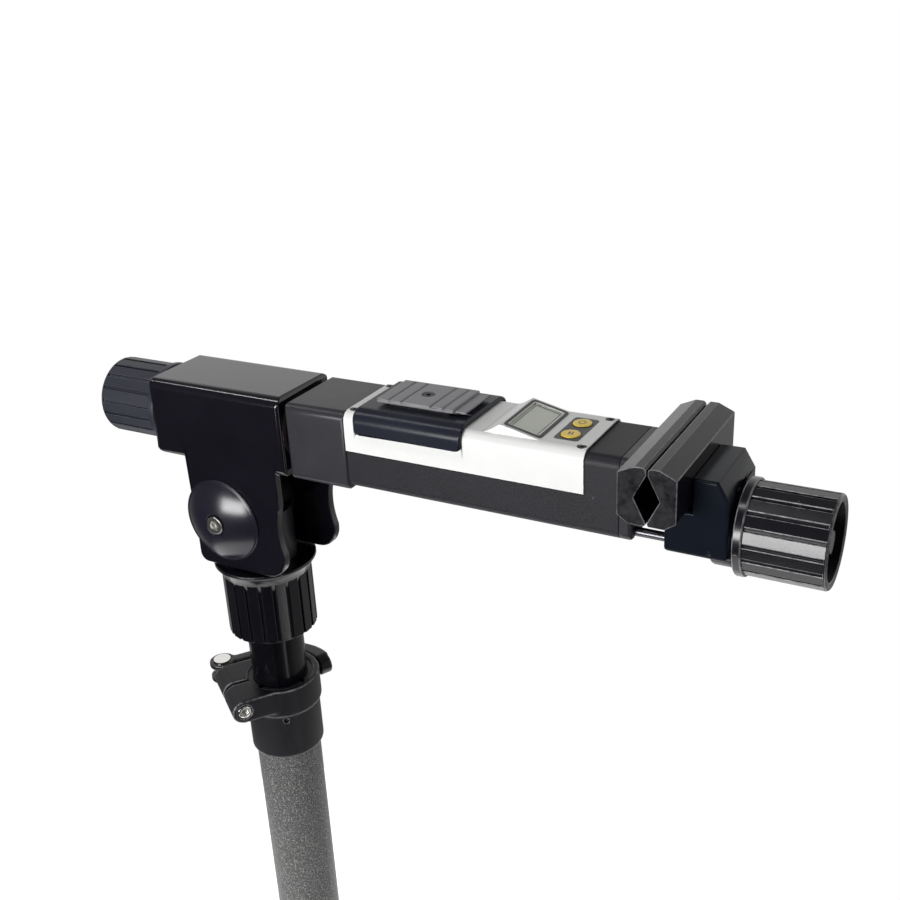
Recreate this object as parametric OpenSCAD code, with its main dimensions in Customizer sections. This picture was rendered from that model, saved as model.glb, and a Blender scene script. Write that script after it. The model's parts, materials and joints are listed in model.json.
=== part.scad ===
// Bicycle repair stand: a folding tripod, a telescoping mast, a tilting head,
// and a turning arm that carries a scale and a screw clamp.
// Millimetres. The origin is on the floor below the mast axis, +Z is up, and the arm points along +X.

/* [Tripod] */
// Height of the strut pivots above the floor
hub_pivot_z = 80; // [74:1:110]
// Distance of the leg and strut pivots from the mast axis
pivot_ring_r = 48; // [46:1:56]
// Distance between a strut's pivots, and from a leg's top pivot to its strut pivot
strut_len = 220; // [190:1:250]
// Angle between an open leg and the mast
leg_angle = 58; // [50:1:62]
// Outer diameter of a leg tube
leg_d = 25; // [22:0.5:28]
// Wall of a leg tube
leg_wall = 1.6; // [1.2:0.1:3]
// Distance from a leg's top pivot to the start of its tube
leg_start = 20; // [18:0.5:26]
// Thickness of a leg's flattened top
tongue_t = 12; // [8:0.5:14]
// Width of the flat straps: struts, ears and leg tops
strap_w = 18; // [16:0.5:20]
// Thickness of a strut bar
strut_t = 4; // [3:0.5:6]
// Distance from a strut's lower pivot to the spacer between its bars
spacer_at = 45; // [38:1:60]
// Diameter of that spacer
spacer_d = 8; // [6:0.5:10]
// Diameter of the tripod's pivot pins
pin_d = 8; // [6:0.5:10]
// Diameter of a pivot pin's head
pin_head_d = 13; // [11:0.5:15]
// Thickness of a pivot pin's head
pin_head_t = 3; // [2:0.5:4]
// Wall of the hub around the mast
hub_wall = 8; // [6:0.5:10]
// Height of the hub above its pivots
hub_above = 24; // [14:1:30]
// Height of the hub below its pivots
hub_below = 34; // [20:1:40]
// Thickness of the hub's closed bottom
hub_floor = 6; // [3:0.5:10]
// Height of the sliding collar
slider_h = 34; // [24:1:40]
// Wall of the sliding collar
slider_wall = 8; // [6:0.5:9]
// Thickness of an ear on the sliding collar
ear_t = 5; // [4:0.5:8]
// Diameter of a foot's round end
foot_d = 40; // [36:0.5:48]
// Height of that round end's centre above the floor
foot_centre_z = 14; // [10:0.5:16]
// Wall of a foot's sleeve around its leg
foot_wall = 3.5; // [2:0.5:5]
// Distance from a leg's end to its foot's round centre
leg_end_gap = 2; // [1:0.5:4]
// Length of leg that a foot covers
foot_grip = 44; // [30:1:60]
// Diameter of the hand screw's knob on the sliding collar
hand_knob_d = 36; // [28:1:42]
// Length of that knob
hand_knob_len = 24; // [18:1:30]
// Number of grooves around that knob
hand_knob_grooves = 9; // [6:1:12]
// Diameter of the hand screw
hand_screw_d = 8; // [6:0.5:10]
// Diameter of the boss that holds the hand screw
hand_boss_d = 20; // [16:0.5:24]
// Length of that boss outside the collar
hand_boss_len = 8; // [5:0.5:12]

/* [Mast] */
// Outer diameter of the lower tube
lower_tube_d = 50; // [48:0.5:52]
// Wall of the lower tube
lower_tube_wall = 2; // [1.5:0.1:2.5]
// Length of the lower tube
lower_tube_len = 826; // [760:1:900]
// Wall of the upper tube
upper_tube_wall = 2; // [1.5:0.1:3]
// Length of the upper tube
upper_tube_len = 640; // [400:1:680]
// Width of the keyway along the upper tube
keyway_w = 4; // [3:0.5:6]
// Depth of the keyway
keyway_depth = 1; // [0.6:0.1:1.3]
// Direction that the keyway faces, counted from the arm's direction
keyway_azimuth = -50; // [-90:1:90]
// Wall of the guide bush between the two tubes
bush_wall = 1.68; // [1.2:0.02:2.6]
// Length of the guide bush in the lower tube
bush_len = 70; // [40:1:100]
// Height of the guide bush's lip above the lower tube
bush_lip = 6.5; // [4:0.5:8]
// Width of a notch in that lip
lip_notch = 4; // [2:0.5:6]
// Length of the guide ring's plug in the upper tube
ring_plug_len = 25; // [15:1:40]
// Height of the guide ring below the upper tube
ring_h = 8; // [5:0.5:14]

/* [Mast clamp] */
// Height of the clamp's top above the lower tube
clamp_lip = 8; // [7:0.5:12]
// Wall of the clamp's band
band_wall = 5; // [4:0.1:7]
// Height of the band
band_h = 23; // [21:0.5:28]
// Wall of the sleeve below the band
sleeve_wall = 3; // [2:0.1:3.6]
// Height of the clamp from its top to the sleeve's lower end
clamp_h = 62; // [45:1:80]
// Direction of the clamp's ears, counted from the arm's direction
clamp_azimuth = 233; // [200:1:260]
// Distance of the clamp bolt from the band's outside
clamp_bolt_out = 6.5; // [6:0.5:9.5]
// Depth of the clamp bolt below the clamp's top
clamp_bolt_drop = 9.3; // [9:0.1:11]
// Half the width of the two ears together
ear_half = 27.5; // [26:0.5:28.5]
// Width of the slit between the ears
slit_w = 3; // [2:0.5:5]
// Diameter of the clamp bolt
clamp_bolt_d = 6; // [5:0.5:6]
// Diameter of the clamp bolt's head
clamp_head_d = 10; // [9:0.5:11]
// Height of the clamp bolt's head
clamp_head_h = 5; // [4:0.5:7]
// Width across the flats of the clamp bolt's socket
clamp_socket = 5; // [4:0.5:6]
// Diameter of the barrel pin that the lever turns on
barrel_d = 13.2; // [12:0.1:14]
// Radius of the lever's boss around the barrel pin
lever_boss_r = 10; // [9:0.5:11]
// Width of the lever across its arm
lever_w = 11; // [8:0.5:11.5]
// Height of the lever
lever_h = 17; // [14:0.5:18.5]
// Angle that the lever's hooked arm wraps round the band
lever_wrap = 80; // [70:1:110]
// Diameter of the peg hole in the sleeve
peg_hole_d = 4; // [3:0.5:5]
// Depth of that hole below the clamp's top
peg_hole_drop = 28; // [26:1:40]

/* [Lock collar] */
// Diameter of the lock collar's rim
collar_rim_d = 75; // [72:0.5:80]
// Diameter of its ribbed grip
collar_grip_d = 66; // [60:0.5:70]
// Height of the lock collar
collar_len = 59; // [50:1:62]
// Height of the straight rim
collar_rim_h = 2; // [1:0.5:4]
// Height of the flare below the rim
collar_flare_h = 10; // [6:0.5:14]
// Number of grooves around the grip
collar_grooves = 20; // [16:1:24]
// Depth of the wide bore around the knuckle's neck
collar_neck_depth = 20; // [18:1:26]
// Gap between the fork and the locked collar
lock_gap = 1.5; // [1.2:0.1:2]

/* [Head] */
// Height of the head's pivot above the mast clamp
pivot_above_clamp = 143; // [142:1:180]
// Distance of the head's pivot behind the mast axis
pivot_back = 9; // [6:0.5:12]
// Height of the arm axis above the pivot
arm_rise = 71; // [68:0.5:80]
// Length of the head housing
head_len = 112; // [104:1:124]
// Length of the head housing behind the mast axis
head_back = 61; // [56:1:66]
// Width of the head housing and fork
head_w = 60; // [56:0.5:66]
// Height of the head housing
head_h = 57.4; // [54:0.2:62]
// Radius of the housing's long edges
head_edge_r = 7; // [3:0.5:9]
// Radius of the housing's end edges
head_end_r = 3; // [1:0.5:5]
// Thickness of a fork cheek
cheek_t = 6.5; // [5:0.5:7]
// Reach of the cheek on the bolt head's side, in front of the pivot
near_cheek_front = 51; // [46:0.5:52]
// Reach of the cheek on the nut's side, in front of the pivot
far_cheek_front = 57; // [50:0.5:57]
// Depth of the waist in a cheek's front edge
cheek_waist = 3; // [1:0.5:4]
// Radius of that waist
cheek_waist_r = 60; // [50:1:90]
// Reach of a cheek behind the pivot
cheek_rear = 26; // [24:0.5:30]
// Reach of a cheek below the pivot
fork_drop = 38; // [36:0.5:40]
// Radius of a cheek's lower front corner
cheek_front_r = 16; // [14:0.5:17]
// Radius of a cheek's lower rear corner
cheek_rear_r = 7; // [4:0.5:10]
// Diameter of a pivot cap
cap_d = 59; // [50:0.5:62]
// Height of a pivot cap's dome
cap_h = 8.8; // [7.5:0.1:12]
// Thickness of a pivot cap's flat rim
cap_rim_t = 1.4; // [1:0.1:2.5]
// Width of that rim around the dome
cap_rim_w = 1.6; // [1:0.1:2.5]
// Diameter of the pivot bolt
pivot_bolt_d = 8; // [6:0.5:10]
// Diameter of the pivot bolt's head
pivot_head_d = 13; // [12:0.5:15]
// Height of the pivot bolt's head
pivot_head_h = 7; // [5:0.5:7]
// Width across the flats of the pivot bolt's socket
pivot_socket = 6; // [5:0.5:6.5]
// Width across the flats of the pivot nut
pivot_nut_w = 13; // [12:0.5:15]
// Height of the pivot nut
pivot_nut_h = 6.5; // [5:0.5:7]
// Outer diameter of the pivot sleeve
pivot_sleeve_d = 16; // [14:0.5:18]
// Wall of a pivot bush
pivot_bush_wall = 3; // [2:0.5:4]
// Length of a pivot bush in the knuckle
pivot_bush_len = 15; // [10:1:20]
// Diameter of a pivot bush's flange
pivot_flange_d = 30; // [28:0.5:34]
// Thickness of a pivot bush's flange
pivot_flange_t = 0.7; // [0.5:0.1:1]
// Diameter of the knuckle's barrel
knuckle_d = 48; // [40:0.5:52]
// Diameter of the knuckle's neck
neck_d = 47; // [45:0.5:47.5]
// Height of the pivot above the upper tube
neck_len = 54; // [52:1:56]
// Length of the knuckle's plug in the upper tube
knuckle_plug_len = 60; // [40:1:90]

/* [Arm] */
// Gap between the head housing and the arm
arm_gap = 4.5; // [3:0.5:7]
// Length of the arm's root block
root_len = 47; // [42:1:56]
// Width of the root block
root_w = 59.4; // [58.4:0.2:62]
// Height of the root block above the arm axis
root_top = 26.8; // [26.6:0.2:30]
// Depth of the root block below the arm axis
root_bottom = 28; // [26:0.5:30]
// Length of the beam
beam_len = 184.5; // [180:0.5:210]
// Width of the beam
beam_w = 58; // [57:0.5:60]
// Height of the beam above the arm axis
beam_top = 26.4; // [26:0.1:27]
// Depth of the beam below the arm axis
beam_bottom = 25; // [24.5:0.5:27]
// Wall of the beam
beam_wall = 3; // [2.5:0.1:3.5]
// Radius of the beam's long edges
beam_edge_r = 6; // [4:0.5:7]
// Radius of the arm's end edges
arm_end_r = 3; // [1:0.5:4]
// Length of the beam's end block outside the beam
end_len = 8; // [6:0.5:14]
// Length of the end block's plug in the beam
end_plug = 22; // [16:1:28]
// Diameter of the arm's spindle
spindle_d = 24; // [20:0.5:26]
// Distance of the spindle's rear end from its knob's open end
spindle_inset = 3; // [1:0.5:12]
// Length of the spindle in the root block
spindle_grip = 30; // [20:1:36]
// Wall of a spindle bush
spindle_bush_wall = 3; // [2:0.5:4]
// Length of a spindle bush
spindle_bush_len = 20; // [14:1:26]
// Diameter of the hollow between the spindle bushes
head_hollow_d = 46; // [38:0.5:48]
// Diameter of the friction disc
disc_d = 46; // [40:0.5:52]

/* [Scale] */
// Length of the scale's cover
cover_len = 163.5; // [161:0.5:170]
// Thickness of the cover on top of the beam
cover_top_t = 1.6; // [1.3:0.1:2]
// Thickness of the cover's skirts
cover_side_t = 1; // [0.6:0.1:1.5]
// Height of the skirts' lower edge above the arm axis
cover_skirt_z = 1.5; // [-4:0.5:8]
// Diameter of a cover screw's head
cover_screw_head_d = 5; // [4:0.2:6]
// Diameter of a cover screw
cover_screw_d = 3; // [2:0.2:3.6]
// Length of a cover screw below its head
cover_screw_len = 5; // [3:0.5:8]
// Width across the flats of a cover screw's socket
cover_socket = 2.5; // [2:0.1:3]
// Depth of a cover screw's head below the cover's top
cover_screw_sink = 0.3; // [0.1:0.1:0.4]
// Distance of the cover screws from the cover's ends
cover_screw_inset = 4; // [3.5:0.1:5]
// Distance of the cover screws from the middle
cover_screw_y = 22; // [18:0.5:23]
// Distance from the cover's front end to the low edge of the display hump
hump_end = 30; // [28:0.5:34]
// Length of the hump's display slope
hump_run = 26; // [24:0.5:30]
// Length of the hump's steep rear side
hump_rise_run = 11; // [8:0.5:12]
// Height of the hump above the cover
hump_h = 6; // [4:0.5:8]
// Half the width of the hump
hump_half = 24; // [23:0.5:26]
// Length of the display frame along the slope
frame_len = 24; // [22:0.5:25]
// Width of the display frame
frame_w = 43; // [40:0.5:46]
// Width of the display frame's border
frame_border = 3.6; // [3:0.2:5]
// Thickness of the display frame
frame_t = 1.4; // [1.2:0.1:2]
// Height that the frame stands proud of the slope
frame_proud = 0.4; // [0.2:0.1:0.8]
// Corner radius of the display frame
frame_r = 2.5; // [1:0.5:4]
// Width of the frame's seat around the display panel
panel_margin = 1; // [0.6:0.1:2]
// Thickness of the display panel
panel_t = 2; // [1.2:0.1:2.4]
// Length of the button frame along the arm
button_frame_len = 16; // [15:0.5:18]
// Width of the button frame
button_frame_w = 35; // [32:0.5:38]
// Distance from the cover's front end to the button frame's middle
button_end = 16.6; // [16:0.2:18]
// Thickness of the button frame
button_frame_t = 0.9; // [0.6:0.1:1]
// Diameter of a button
button_d = 11.8; // [10:0.2:13]
// Distance between the buttons
button_pitch = 17.8; // [16:0.2:20]
// Height that a button stands above its frame
button_proud = 1.2; // [1:0.1:2]
// Travel of a button
button_travel = 0.8; // [0.5:0.1:1]
// Diameter of a button's stem
button_stem_d = 4; // [3:0.5:6]
// Width of the margin around the opening in the beam under the display and buttons
opening_margin = 2; // [1:0.5:2]
// Thickness of the circuit board
board_t = 1.6; // [1:0.1:2]
// Depth of the circuit board's top below the beam's top
board_drop = 4.4; // [4.2:0.1:6]
// Length of the circuit board
board_len = 50; // [44:1:52]
// Width of the circuit board
board_w = 38; // [36:0.5:44]
// Width of the ledge under each side of the board
ledge_w = 9; // [8:0.5:10]
// Thickness of those ledges
ledge_t = 2; // [1.5:0.1:3]
// Height of a switch on the board
switch_h = 1.4; // [1:0.1:1.8]
// Gap between a pressed button and its switch
switch_gap = 0.1; // [0.05:0.05:0.2]
// Width of a switch
switch_w = 6; // [5:0.5:8]
// Diameter of the battery
battery_d = 20; // [16:0.5:22]
// Thickness of the battery
battery_t = 3.2; // [2:0.1:5]
// Width and height of the load cell
cell_w = 14; // [12:0.5:18]
// Distance between the load cell's strain holes
cell_hole_pitch = 7.2; // [5:0.2:9]
// Length of the load cell
cell_len = 90; // [70:1:94]
// Height of the load cell's middle above the arm axis
cell_z = -4; // [-10:0.5:2]
// Diameter of the load cell's strain holes
cell_hole_d = 9; // [6:0.5:10]

/* [Shoe] */
// Distance from the root block to the saddle
saddle_start = 8; // [7.5:0.5:12]
// Length of the saddle
saddle_len = 77; // [70:1:80]
// Thickness of the saddle on top
saddle_top_t = 3.2; // [2:0.2:5]
// Thickness of the saddle's sides
saddle_side_t = 2.6; // [2:0.2:4]
// Height of the saddle's lower edges above the arm axis
saddle_skirt_z = 15; // [8:0.5:18]
// Radius of the saddle's end edges
saddle_end_r = 2; // [1:0.5:4]
// Distance from the saddle's rear edge to the shoe plate
plate_start = 10.5; // [6:0.5:12]
// Length of the shoe plate
plate_len = 55; // [50:0.5:56]
// Length of the shoe plate's thin nose
plate_nose = 7.5; // [5:0.5:9]
// Width of the shoe plate
plate_w = 36; // [32:0.5:40]
// Thickness of the shoe plate
plate_t = 3; // [2.6:0.2:4]
// Gap below the shoe plate's edges
plate_gap = 1.8; // [1.4:0.2:3]
// Overhang of the plate's edges over its foot
plate_overhang = 6; // [4:0.5:9]
// Width of a groove across the plate
plate_groove_w = 1.2; // [0.8:0.1:2]
// Depth of those grooves
plate_groove_depth = 0.6; // [0.4:0.1:1]
// Distance between the two grooves of a pair
plate_groove_pitch = 9; // [6:0.5:11]
// Distance of the front groove from the plate's front edge
plate_groove_inset = 7; // [5:0.5:9]
// Radius of the plate's edges
plate_edge_r = 1; // [0.5:0.1:1.2]
// Distance that the nose is narrower than the plate on each side
plate_nose_inset = 2; // [1:0.5:4]
// Diameter of the plate's middle hole
plate_hole_d = 8.6; // [8:0.2:10]
// Diameter of the shoe screw
shoe_screw_d = 5; // [4:0.5:6]
// Diameter of the shoe screw's head
shoe_head_d = 8; // [7:0.1:8]
// Height of the shoe screw's head
shoe_head_h = 1.8; // [1:0.1:2.2]
// Depth of the shoe screw's head below the plate's top
shoe_head_sink = 0.4; // [0.2:0.1:0.6]
// Width across the flats of the shoe screw's socket
shoe_socket = 3; // [2.5:0.5:4]
// Length of the shoe screw below its head
shoe_screw_len = 12; // [10:0.5:16]

/* [Jaws] */
// Length of a jaw pad across the arm
pad_len = 106; // [90:1:120]
// Depth of a jaw pad
pad_depth = 16.5; // [14:0.5:20]
// Lower edge of the pads above the arm axis
pad_bottom = 1; // [0.5:0.1:2]
// Height of a pad
pad_h = 34.8; // [34:0.2:40]
// Height of the notch's middle above the pads' lower edge
notch_z = 16.2; // [15.8:0.1:17.4]
// Height of the notch
notch_h = 28; // [24:0.5:29]
// Depth of the notch in each pad
notch_depth = 7; // [5:0.5:9]
// Height of the slopes at a pad's back
pad_back_slope = 4.5; // [2:0.5:6]
// Depth of the slope under a pad's back
pad_foot_run = 6.6; // [4:0.2:8]
// Depth of the slope on top of a pad's back
pad_crown_run = 9.9; // [6:0.1:11]
// Depth of the slope under a pad's front
pad_front_run = 0.8; // [0.4:0.1:4]
// Height of a pad's flat lip below the notch
pad_lip = 1.2; // [0.2:0.1:1.6]
// Chamfer of a pad's upper front edge
pad_chamfer = 1.5; // [0.5:0.1:3]
// Gap between the closed pads
pad_gap = 0.9; // [0.5:0.1:2]
// Width of the moving jaw
jaw_w = 54; // [50:0.5:58]
// Depth of the moving jaw behind its pad
jaw_back = 21; // [20:0.5:26]
// Depth of the moving jaw below the arm axis
jaw_bottom = 26; // [25:0.5:27]
// Height of the moving jaw's top above the arm axis
jaw_top = 21.5; // [18:0.5:26]
// Height of the jaw's rear chamfer
jaw_chamfer_h = 11; // [8:0.5:13]
// Length of the jaw's rear chamfer
jaw_chamfer_run = 6.5; // [4:0.5:8]
// Diameter of the round boss behind the knob
boss_d = 49.6; // [44:0.2:52]
// Length of that boss inside the jaw
boss_depth = 12; // [8:0.5:16]
// Height that the boss stands behind the jaw
boss_proud = 1; // [0.5:0.1:2]
// Depth of the clamp screw below the arm axis
screw_drop = 15; // [14:0.1:15.5]
// Diameter of the clamp screw and of the spindle's thread
screw_d = 14; // [12:0.5:16]
// Diameter of a guide rod
rod_d = 5.6; // [4:0.2:6]
// Distance of the guide rods from the middle
rod_y = 20; // [18:0.5:21]
// Depth of the guide rods below the arm axis
rod_drop = 21; // [20.5:0.1:21.4]
// Length of guide rod that stays in the jaw at the end of its travel
rod_hold = 10.5; // [6:0.5:10.5]
// Travel of the moving jaw
jaw_travel = 25; // [15:1:25]

/* [Hand knobs] */
// Diameter of a hand knob's grip
knob_d = 54.6; // [50:0.2:58]
// Diameter of its flange
knob_flange_d = 57.6; // [52:0.2:60]
// Length of a hand knob
knob_len = 51.5; // [48:0.5:58]
// Length of its flange
knob_flange_len = 7; // [4:0.5:8]
// Length of the smooth rim at its open end
knob_rim_len = 5; // [3:0.5:8]
// Wall of its open end
knob_wall = 3.4; // [2:0.2:4]
// Depth of its open end
knob_hollow = 28; // [22:0.5:30]
// Number of grooves around a hand knob
knob_grooves = 18; // [14:1:22]
// Width of a groove in a grip
groove_w = 2.2; // [1.4:0.1:3]
// Depth of a groove in a grip
groove_depth = 1.2; // [0.6:0.1:2]
// Distance of a groove's end from a flange or flare
groove_inset = 0.8; // [0.5:0.1:2]
// Width across the flats of a knob's nut
knob_nut_w = 22; // [20:0.5:26]
// Height of a knob's nut
knob_nut_h = 12; // [8:0.5:14]
// Thickness of the thrust washer
washer_t = 1; // [0.8:0.1:2]
// Diameter of the thrust washer
washer_d = 40; // [30:0.5:44]

/* [Clearances] */
// Radial clearance of a pin or shaft that turns in a bore
run_play = 0.08; // [0.04:0.01:0.1]
// Radial clearance of a part that is pressed or screwed in its seat
seat_play = 0.02; // [0.01:0.01:0.04]
// Radial clearance of tubes and collars that slide
slide_play = 0.3; // [0.2:0.05:0.4]
// Gap around the end block's plug and under the moving pad
plug_play = 0.1; // [0.05:0.05:0.2]
// Gap between flat faces that move past each other
side_play = 0.4; // [0.3:0.05:0.6]

/* [Hidden] */
$fn = 96;
leg_azimuths = [0, 120, 240];

// Heights along the mast
slider_pivot_z = hub_pivot_z + 2 * strut_len * cos(leg_angle);
leg_len = slider_pivot_z / cos(leg_angle);
lower_tube_z = hub_pivot_z - hub_below + hub_floor;
lower_tube_top = lower_tube_z + lower_tube_len;
clamp_top = lower_tube_top + clamp_lip;
clamp_bolt_z = clamp_top - clamp_bolt_drop;
pivot_z = clamp_top + pivot_above_clamp;
upper_tube_top = pivot_z - neck_len;
upper_tube_z = upper_tube_top - upper_tube_len;
collar_top = pivot_z - fork_drop - lock_gap;
arm_z = pivot_z + arm_rise;

// Tripod sections
strut_inner = leg_d / 2 + side_play;
strut_outer = strut_inner + strut_t;
slider_ear_inner = tongue_t / 2 + side_play;
slider_ear_outer = slider_ear_inner + ear_t;
slider_r = lower_tube_d / 2 + slide_play + slider_wall;
hub_r = lower_tube_d / 2 + seat_play + hub_wall;
foot_centre = leg_len - foot_centre_z / cos(leg_angle);
leg_end = foot_centre - leg_end_gap;

// Mast and clamp sections: tubes, band, the bolt head's seat, the lever's pin and the lever's laps
upper_tube_d = lower_tube_d - 2 * (lower_tube_wall + seat_play + bush_wall + slide_play);
band_d = lower_tube_d + 2 * (seat_play + band_wall);
sleeve_d = lower_tube_d + 2 * (seat_play + sleeve_wall);
clamp_bolt_r = band_d / 2 + clamp_bolt_out;
clamp_head_y = ear_half - clamp_head_h - side_play;
lever_pin_y = ear_half + side_play + lever_boss_r;
lever_lap = 4;
lever_step = 0.6;

// Head sections
fork_half = head_w / 2 - cheek_t;
knuckle_half = fork_half - side_play - pivot_flange_t;
pivot_bush_d = pivot_sleeve_d + 2 * run_play + 2 * pivot_bush_wall;
spindle_bush_d = spindle_d + 2 * run_play + 2 * spindle_bush_wall;
cap_sphere_r = (pow(cap_d / 2, 2) + pow(cap_h, 2)) / (2 * cap_h);
cap_apex = head_w / 2 + cap_rim_t + cap_h;
pivot_head_y = cap_apex - pivot_head_h - side_play;

// Places along the arm, from the mast axis
head_front = head_len - head_back;
root_x = head_front + arm_gap;
beam_x = root_x + root_len;
end_x = beam_x + beam_len;
pad_x = end_x + end_len;
moving_pad_x = pad_x + pad_depth + pad_gap;
jaw_x = moving_pad_x + pad_depth;
jaw_end = jaw_x + jaw_back;
boss_end = jaw_end + boss_proud;
knob_x = boss_end + washer_t + side_play;
cover_end = beam_x + cover_len;
saddle_x = beam_x + saddle_start;
plate_x = saddle_x + plate_start;
plate_mid = plate_x + plate_len / 2;
hump_low_x = cover_end - hump_end;
hump_peak_x = hump_low_x - hump_run;
hump_rear_x = hump_peak_x - hump_rise_run;
button_x = cover_end - button_end;
board_x = button_x + button_frame_len / 2 - board_len;

// Heights above the arm axis
cover_top = beam_top + cover_top_t;
cover_half = beam_w / 2 + cover_side_t;
cover_edge_r = beam_edge_r + cover_side_t;
saddle_top = cover_top + saddle_top_t;
saddle_half = cover_half + saddle_side_t;
plate_z = saddle_top + plate_gap;
shoe_head_z = plate_z + plate_t - shoe_head_h - shoe_head_sink;
board_top = beam_top - board_drop;
pad_top = pad_bottom + pad_h;
slope_angle = atan2(hump_h, hump_run);
rod_end = moving_pad_x + jaw_travel + rod_hold;
screw_end = knob_x + knob_len - knob_hollow + jaw_travel;
knob_hub_len = knob_len - knob_hollow;

// A flat rectangle with round corners, from two opposite corners
module rounded(x0, y0, x1, y1, r) {
    translate([x0 + r, y0]) square([x1 - x0 - 2 * r, y1 - y0]);
    translate([x0, y0 + r]) square([x1 - x0, y1 - y0 - 2 * r]);
    for (x = [x0 + r, x1 - r], y = [y0 + r, y1 - r])
        translate([x, y]) circle(r);
}

// Extrusion of a flat shape drawn in Y and Z, along X
module along_x(x0, x1) {
    translate([x0, 0, 0]) rotate([90, 0, 90]) linear_extrude(x1 - x0) children();
}

// Extrusion of a flat shape drawn in X and Z, along Y
module along_y(y0, y1) {
    translate([0, y1, 0]) rotate([90, 0, 0]) linear_extrude(y1 - y0) children();
}

// A round bar along X
module bar_x(x0, x1, d) {
    translate([x0, 0, 0]) rotate([0, 90, 0]) cylinder(d = d, h = x1 - x0);
}

// A round bar along Y
module bar_y(y0, y1, d) {
    translate([0, y1, 0]) rotate([90, 0, 0]) cylinder(d = d, h = y1 - y0);
}

// A hexagonal prism along Z with the given width across its flats
module hexagon(width, h) {
    cylinder(d = width / cos(30), h = h, $fn = 6);
}

// A block with round long edges and round end edges
module soft_block(x0, x1, half, z0, z1, edge_r, end_r) {
    intersection() {
        along_x(x0, x1) rounded(-half, z0, half, z1, edge_r);
        along_y(-half, half) rounded(x0, z0, x1, z1, end_r);
        translate([0, 0, z0]) linear_extrude(z1 - z0) rounded(x0, -half, x1, half, end_r);
    }
}

// A pipe along Z
module pipe(d, wall, h) {
    difference() {
        cylinder(d = d, h = h);
        translate([0, 0, -1]) cylinder(d = d - 2 * wall, h = h + 2);
    }
}

// A strap with round ends, drawn flat from the origin along +X
module strap(len, width) {
    translate([0, -width / 2]) square([len, width]);
    circle(d = width);
    translate([len, 0]) circle(d = width);
}

// Grooves along Z, spaced around a grip
module grip_grooves(d, z0, z1, count) {
    for (i = [0 : count - 1])
        rotate([0, 0, (i + 0.5) * 360 / count])
            translate([d / 2 - groove_depth, -groove_w / 2, z0])
                cube([2 * groove_depth, groove_w, z1 - z0]);
}

// Place for the pieces of leg i: X points outwards over the floor
module at_leg(i) {
    rotate([0, 0, leg_azimuths[i]]) children();
}

// Place on the arm axis above the mast
module at_arm() {
    translate([0, 0, arm_z]) children();
}

// Place on the head's pivot
module at_pivot() {
    translate([-pivot_back, 0, pivot_z]) children();
}

// Place on the clamp bolt's height: X points out through the clamp's ears
module at_clamp() {
    translate([0, 0, clamp_bolt_z]) rotate([0, 0, clamp_azimuth]) children();
}

// Place on the jaw screw's axis
module at_screw() {
    translate([0, 0, arm_z - screw_drop]) children();
}

// Place in the middle of the display slope: X runs down the slope and Z points out of it
module at_display() {
    at_arm()
        translate([hump_peak_x + hump_run / 2, 0, cover_top + hump_h / 2])
            rotate([0, slope_angle, 0]) children();
}

// A pivot pin across Y with a head at each end
module cross_pin(half) {
    bar_y(-half, half, pin_d);
    bar_y(half, half + pin_head_t, pin_head_d);
    bar_y(-half - pin_head_t, -half, pin_head_d);
}

module lower_tube() {
    color("#8a8d90") translate([0, 0, lower_tube_z]) pipe(lower_tube_d, lower_tube_wall, lower_tube_len);
}

module leg_hub() {
    color("#2a2a2d") difference() {
        union() {
            translate([0, 0, hub_pivot_z - hub_below]) cylinder(r = hub_r, h = hub_below + hub_above);
            for (i = [0 : 2])
                at_leg(i) translate([0, 0, hub_pivot_z])
                    along_y(-leg_d / 2, leg_d / 2)
                        translate([hub_r - hub_wall / 2, 0])
                            strap(pivot_ring_r - hub_r + hub_wall / 2, strap_w);
        }
        translate([0, 0, lower_tube_z]) cylinder(d = lower_tube_d + 2 * seat_play, h = lower_tube_len);
        for (i = [0 : 2])
            at_leg(i) translate([pivot_ring_r, 0, hub_pivot_z])
                bar_y(-leg_d, leg_d, pin_d + 2 * seat_play);
    }
}

module hub_pins() {
    color("#b9bbbd")
        for (i = [0 : 2])
            at_leg(i) translate([pivot_ring_r, 0, hub_pivot_z]) cross_pin(strut_outer + side_play);
}

// The two ears of the mast clamp, side by side, before they are slit
module clamp_ears() {
    along_y(-ear_half, ear_half) {
        circle(r = clamp_bolt_drop);
        translate([clamp_bolt_r, 0]) circle(r = clamp_bolt_drop);
        translate([0, -clamp_bolt_drop]) square([clamp_bolt_r, 2 * clamp_bolt_drop]);
    }
}

module clamp_body() {
    color("#2e2e31") difference() {
        union() {
            translate([0, 0, clamp_top - band_h]) cylinder(d = band_d, h = band_h);
            translate([0, 0, clamp_top - clamp_h]) cylinder(d = sleeve_d, h = clamp_h);
            at_clamp() clamp_ears();
        }
        translate([0, 0, clamp_top - clamp_h - 1])
            cylinder(d = lower_tube_d + 2 * seat_play, h = clamp_h + 2);
        at_clamp() {
            translate([0, -slit_w / 2, -band_h]) cube([2 * clamp_bolt_r, slit_w, 2 * band_h]);
            translate([clamp_bolt_r, 0, 0]) {
                bar_y(-2 * ear_half, 2 * ear_half, clamp_bolt_d + 2 * run_play);
                bar_y(clamp_head_y, 2 * ear_half, clamp_head_d + 4 * run_play + 2 * side_play);
            }
        }
        rotate([0, 0, keyway_azimuth]) translate([0, 0, clamp_top - peg_hole_drop])
            bar_x(lower_tube_d / 2, sleeve_d, peg_hole_d);
    }
}

module clamp_bolt() {
    color("#c8c9cb") at_clamp() translate([clamp_bolt_r, 0, 0]) difference() {
        union() {
            bar_y(-lever_pin_y - barrel_d / 4, clamp_head_y, clamp_bolt_d);
            bar_y(clamp_head_y, clamp_head_y + clamp_head_h, clamp_head_d);
        }
        translate([0, clamp_head_y + clamp_head_h / 2, 0])
            rotate([-90, 0, 0]) hexagon(clamp_socket, clamp_head_h);
    }
}

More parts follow.
